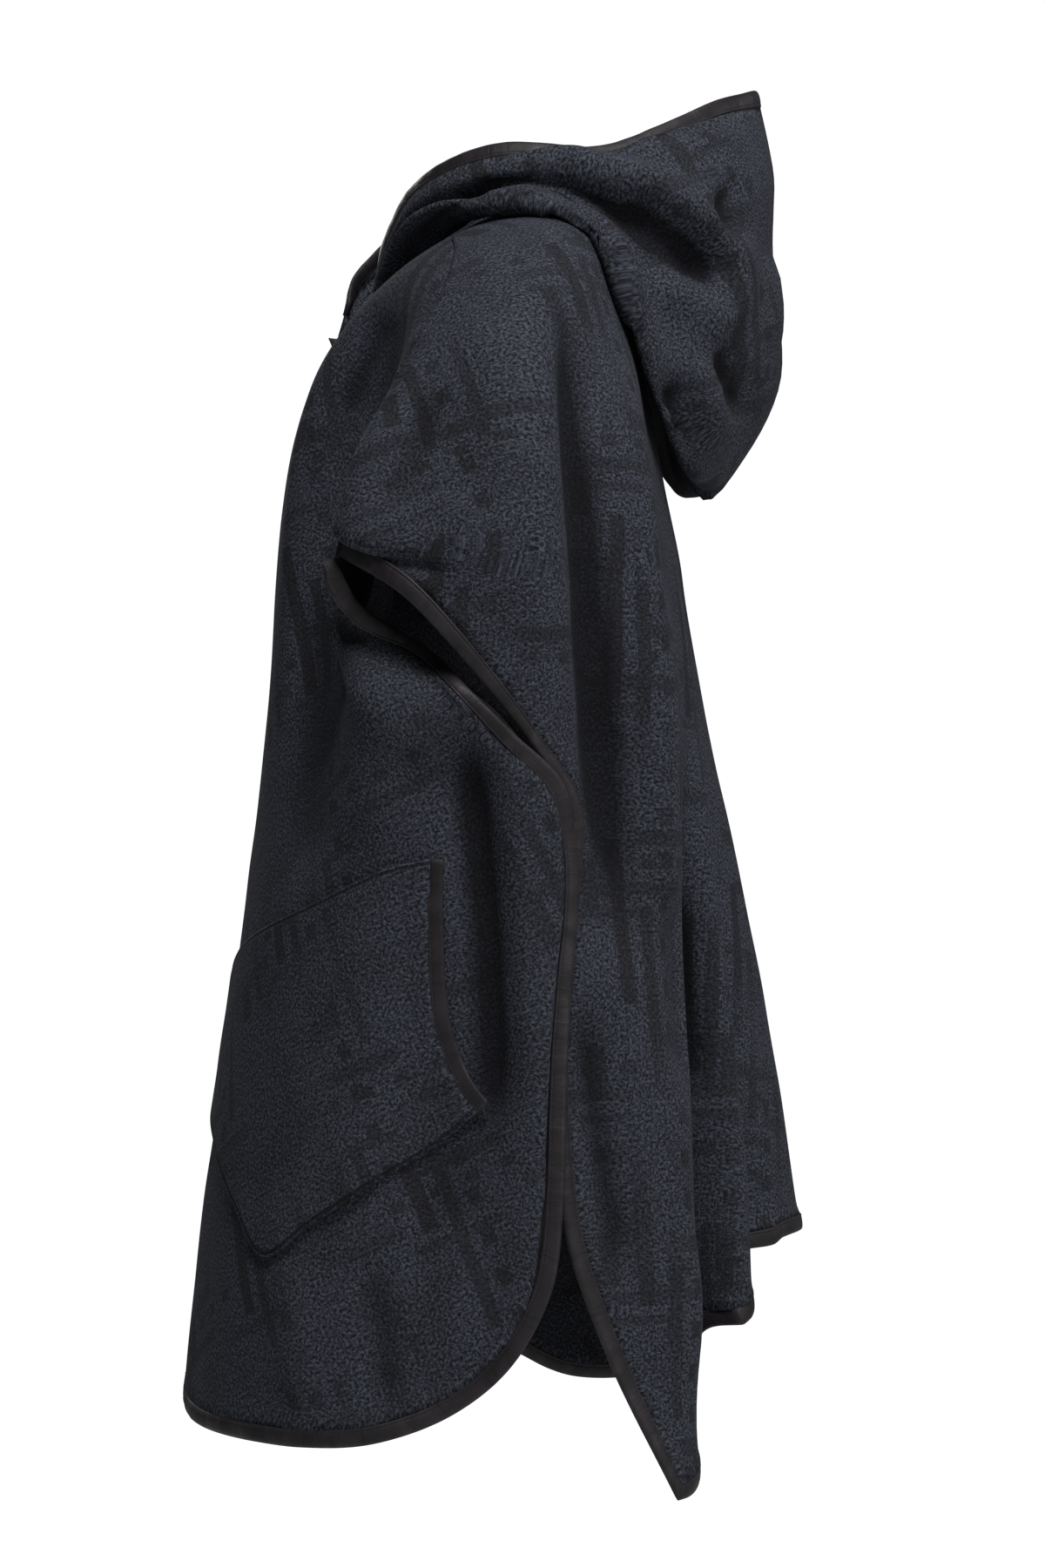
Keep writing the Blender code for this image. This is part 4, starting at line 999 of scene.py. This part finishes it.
def satinMaterial():
    # Satin binding: fine diagonal ribs, slow bands of painted sheen, a painted highlight along each lip, a
    # row of stitches inside it
    material, tree, shader = newMaterial("satinBinding")
    flat = addUv(tree, "clothUv")
    split = addSplit(tree, flat)
    along, across = split["X"], split["Y"]
    fromLip = addMath(tree, "MINIMUM", across, addMath(tree, "SUBTRACT", 2.0 * binding["around"], across))
    apart = addMath(tree, "ABSOLUTE", addMath(tree, "SUBTRACT", fromLip, satinLook["stitch"]))
    groove = addRange(tree, apart, 0.0006, 0.0002)
    stitch = weigh(tree, groove, addRange(tree, addBeat(tree, along, satinLook["pitch"]), -0.3, 0.2))
    # Painted highlight: a paler line along each lip
    lip = addRange(tree, fromLip, 0.0010, 0.0002)
    # Painted sheen: slow bands of the paler fold colour, where the satin is also a little less rough
    slow = addNoise(tree, flat, 60.0, 3.0, 0.55, (1.0, 0.35, 1.0), 0.6)
    lipHighlight = tuple(1.25 * c for c in satinLook["fold"])
    colour = addMix(tree, addRange(tree, slow, 0.35, 0.72), satinLook["base"], satinLook["fold"])
    colour = addMix(tree, weigh(tree, lip, 0.6), colour, lipHighlight)
    colour = addMix(tree, weigh(tree, stitch, 0.85), colour, satinLook["thread"])
    tree.links.new(colour, shader.inputs["Base Color"])
    rough = addRange(tree, slow, 0.3, 0.7, satinLook["rough"] + 0.10, satinLook["rough"] - 0.06)
    tree.links.new(rough, shader.inputs["Roughness"])
    shader.inputs["Specular IOR Level"].default_value = satinLook["specular"]
    ribs = addBeat(tree, addMath(tree, "ADD", along, across), satinLook["rib"])
    folds = addNoise(tree, flat, 190.0, 2.0, 0.5, (1.0, 0.30, 1.0), 1.2)
    height = addMath(tree, "ADD", weigh(tree, folds, 0.8), weigh(tree, ribs, 0.03))
    height = addMath(tree, "SUBTRACT", height, weigh(tree, groove, 0.6))
    height = addMath(tree, "ADD", height, weigh(tree, stitch, 0.45))
    addBump(tree, shader, height, 0.7, 0.0009)
    return material


metalLook = {"base": (0.20, 0.20, 0.21), "worn": (0.42, 0.42, 0.43), "rough": 0.30}


def metalMaterial():
    # Dark nickel, a little worn and scratched
    material, tree, shader = newMaterial("darkNickel")
    place = tree.nodes.new("ShaderNodeTexCoord").outputs["Object"]
    worn = addNoise(tree, place, 420.0, 4.0, 0.6)
    scratch = addNoise(tree, place, 900.0, 2.0, 0.5, (1.0, 0.12, 0.6))
    colour = addMix(tree, addRange(tree, worn, 0.50, 0.66), metalLook["base"], metalLook["worn"])
    tree.links.new(colour, shader.inputs["Base Color"])
    rough = addRange(tree, scratch, 0.35, 0.65, metalLook["rough"] - 0.06, metalLook["rough"] + 0.14)
    tree.links.new(rough, shader.inputs["Roughness"])
    shader.inputs["Metallic"].default_value = 1.0
    return material


tapeLook = {"base": (0.0085, 0.0085, 0.0100), "rib": (0.0180, 0.0175, 0.0200), "pitch": 0.0011,
            "fold": 0.0022, "rough": 0.85}


def tapeMaterial():
    # Woven zip tape: a fine herringbone of dark ribs
    material, tree, shader = newMaterial("wovenTape")
    split = addSplit(tree, tree.nodes.new("ShaderNodeTexCoord").outputs["Object"])
    slant = addMath(tree, "ADD", split["Z"], addMath(tree, "PINGPONG", split["X"], tapeLook["fold"]))
    rib = addBeat(tree, slant, tapeLook["pitch"])
    colour = addMix(tree, addRange(tree, rib, -0.6, 0.8), tapeLook["base"], tapeLook["rib"])
    tree.links.new(colour, shader.inputs["Base Color"])
    shader.inputs["Roughness"].default_value = tapeLook["rough"]
    addBump(tree, shader, rib, 0.5, 0.0003)
    return material


teeth = {"pitch": 0.0024, "size": (0.0034, 0.0013, 0.0014), "aside": 0.0011, "out": 0.0009,
         "below": -0.094, "bevel": 0.0002}


def buildTeeth(metal):
    # The closed zip: two rows of teeth that meet along the middle of the tape
    middle, normal = readWall("zip_tape")
    knots = meanKnots(middle, 0)
    places = np.arange(0.0, knots[-1], teeth["pitch"] / 2.0)
    line = curveThrough(knots, middle, places).mean(axis=1)
    away = curveThrough(knots, normal, places).mean(axis=1)
    away *= -np.sign(away[:, 1:2])
    along = np.gradient(line, axis=0)
    bm = bmesh.new()
    for k, spot in enumerate(line):
        if spot[2] > teeth["below"] or k > len(line) - 4:
            continue
        up = Vector(along[k]).normalized()
        out = Vector(away[k]).normalized()
        side = up.cross(out).normalized()
        turn = Matrix((side, up, out)).transposed().to_4x4()
        shift = side * teeth["aside"] * (1.0 if k % 2 else -1.0)
        turn.translation = Vector(spot) + out * teeth["out"] + shift
        scale = Matrix.Diagonal((*teeth["size"], 1.0))
        bmesh.ops.create_cube(bm, size=1.0, matrix=turn @ scale)
    bmesh.ops.bevel(bm, geom=bm.edges[:], offset=teeth["bevel"], affect="EDGES", segments=1, profile=0.5,
                    material=-1)
    row = addPiece("zip_teeth", bm, metal)
    print("zip teeth", len(row.data.polygons))


# The guard's two edges over the side view, from the top down: along and up, in metres
guard = {"front": [(-0.1338, 0.3072), (-0.1314, 0.3000), (-0.1320, 0.2880), (-0.1368, 0.2730),
                   (-0.1398, 0.2664)],
         "rear": [(-0.1200, 0.3060), (-0.1212, 0.2988), (-0.1248, 0.2910), (-0.1320, 0.2760),
                  (-0.1368, 0.2680)],
         "x": (-0.0125, -0.0095), "thick": 0.0018, "rows": 20, "columns": 8, "long": 0.044, "bulge": 0.0012}


def buildGuard(satin):
    # The satin flap beside the zip at the throat
    away, alongAt, upAt = view["place"]
    down = np.linspace(0.0, 1.0, guard["rows"])
    edges = []
    for way, x in zip((guard["front"], guard["rear"]), guard["x"]):
        grow = (away - x) / away
        points = np.array([(x, along * grow + alongAt, up * grow + upAt) for along, up in way])
        edges.append(curveThrough(np.linspace(0.0, 1.0, len(way)), points, down))
    share = np.linspace(0.0, 1.0, guard["columns"])[None, :, None]
    points = edges[0][:, None] * (1.0 - share) + edges[1][:, None] * share
    fade = np.linspace(1.0, 0.3, guard["rows"])[:, None]
    points[..., 0] -= guard["bulge"] * np.sin(share[..., 0] * math.pi) * fade
    wide = np.linalg.norm(edges[1] - edges[0], axis=1)[:, None]
    flat = np.stack([np.broadcast_to(down[:, None] * guard["long"], points.shape[:2]),
                     (1.0 - share[..., 0]) * wide + 0.0004], axis=2)
    flap = addPiece("strip_zip_guard", gridMesh(points, flat), satin)
    wall = flap.modifiers.new("thickness", "SOLIDIFY")
    wall.thickness = guard["thick"]
    wall.offset = 0.0
    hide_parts("zip_guard")


def dressNodes(nodes, material):
    for node in nodes:
        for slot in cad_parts[node].material_slots:
            slot.material = material


def plainMaterial(name, colour, rough):
    material, _, shader = newMaterial(name)
    shader.inputs["Base Color"].default_value = (*colour, 1.0)
    shader.inputs["Roughness"].default_value = rough
    return material


def buildCamera():
    data = bpy.data.cameras.new("camera")
    data.sensor_fit = "VERTICAL"
    data.sensor_height = 24.0
    data.lens = data.sensor_height * view["place"][0] / view["high"]
    camera = addObject("camera", data)
    camera.location = view["place"]
    camera.rotation_euler = (math.pi / 2.0, 0.0, math.pi / 2.0)
    bpy.context.scene.camera = camera


# Square soft lights that aim at the middle of the garment
lights = [
    # name, place, size, power
    ("key", (1.8, 0.2, 2.3), 0.9, 72.0),
    ("left", (2.6, -1.3, 0.3), 0.9, 2.5),
    ("fill", (2.2, 1.9, 0.5), 1.0, 23.0),
    ("top", (0.4, 0.2, 2.0), 1.2, 12.0),
    ("behind", (-0.6, 3.0, 0.9), 1.4, 16.0),
    ("farSide", (-2.8, -0.8, 0.9), 1.4, 20.0),
]
studio = {"ambient": 0.05, "seen": 1.05, "floorLight": 0.05, "floorSeen": 1.0, "floorAt": -1.60,
          "aim": -0.4}


def addLight(name, place, size, power):
    data = bpy.data.lights.new(name, "AREA")
    data.shape = "RECTANGLE"
    data.size = data.size_y = size
    data.energy = power
    light = addObject(name, data)
    light.location = place
    aim = Vector((0.0, 0.0, studio["aim"])) - Vector(place)
    light.rotation_euler = aim.to_track_quat("-Z", "Y").to_euler()


def seenOrNot(tree, light, seen):
    # One strength for what the camera sees and another for the light that falls on the cloth
    rays = tree.nodes.new("ShaderNodeLightPath")
    return addRange(tree, rays.outputs["Is Camera Ray"], 0.0, 1.0, light, seen, False)


def buildStudio():
    scene = bpy.context.scene
    scene.view_settings.view_transform = "Standard"
    world = bpy.data.worlds.new("studio")
    world.use_nodes = True
    tree = world.node_tree
    background = tree.nodes["Background"]
    background.inputs["Color"].default_value = (1.0, 1.0, 1.0, 1.0)
    tree.links.new(seenOrNot(tree, studio["ambient"], studio["seen"]), background.inputs["Strength"])
    scene.world = world
    bm = bmesh.new()
    bmesh.ops.create_grid(bm, x_segments=1, y_segments=1, size=30.0)
    bmesh.ops.translate(bm, verts=bm.verts, vec=(0.0, 0.0, studio["floorAt"]))
    mesh = bpy.data.meshes.new("floor")
    bm.to_mesh(mesh)
    bm.free()
    paper = plainMaterial("palePaper", (0.95, 0.95, 0.95), 0.9)
    tree = paper.node_tree
    glow = tree.nodes["Principled BSDF"]
    glow.inputs["Emission Color"].default_value = (1.0, 1.0, 1.0, 1.0)
    strength = seenOrNot(tree, studio["floorLight"], studio["floorSeen"])
    tree.links.new(strength, glow.inputs["Emission Strength"])
    mesh.materials.append(paper)
    addObject("floor", mesh)
    for light in lights:
        addLight(*light)


buildCamera()
buildStudio()
print("studio done")
knit = knitMaterial("nappedKnit", 1.0)
# A copy of the knit darkened as painted shade, for the cloth's inner faces
knitPaintedShadeInside = knitMaterial("nappedKnitInsidePaintedShade", knitLook["inside"])
satin = satinMaterial()
sides = ("left", "right")
fronts = {side: buildPanel("front_" + side, knit, ("last column", "last row"), 0.3) for side in sides}
back = buildPanel("back_panel", knit, ("first column", "last column", "last row"), 0.3)
trees = {side: pieceTree(fronts[side]) for side in sides}
backTree = pieceTree(back)
pockets = {side: buildPanel("pocket_" + side, knit, ("last column",), 0.0, [trees[side]]) for side in sides}
hoods = {side: buildPanel("hood_" + side, knit, ("last row",), 0.0, [backTree, trees[side]])
         for side in sides}
for side in sides:
    buildBinding("front_binding_" + side, satin, 1.0, fronts[side])
    buildBinding("pocket_binding_" + side, satin, 2.0, pockets[side])
buildBinding("back_binding", satin, 3.0, back)
buildBinding("hood_binding", satin, 4.0, hoods["left"])

print("cloth done")

metal = metalMaterial()
buildTeeth(metal)
buildGuard(satin)
dressNodes(("zip_slider", "zip_pull"), metal)
dressNodes(("zip_tape",), tapeMaterial())
print("zip done")
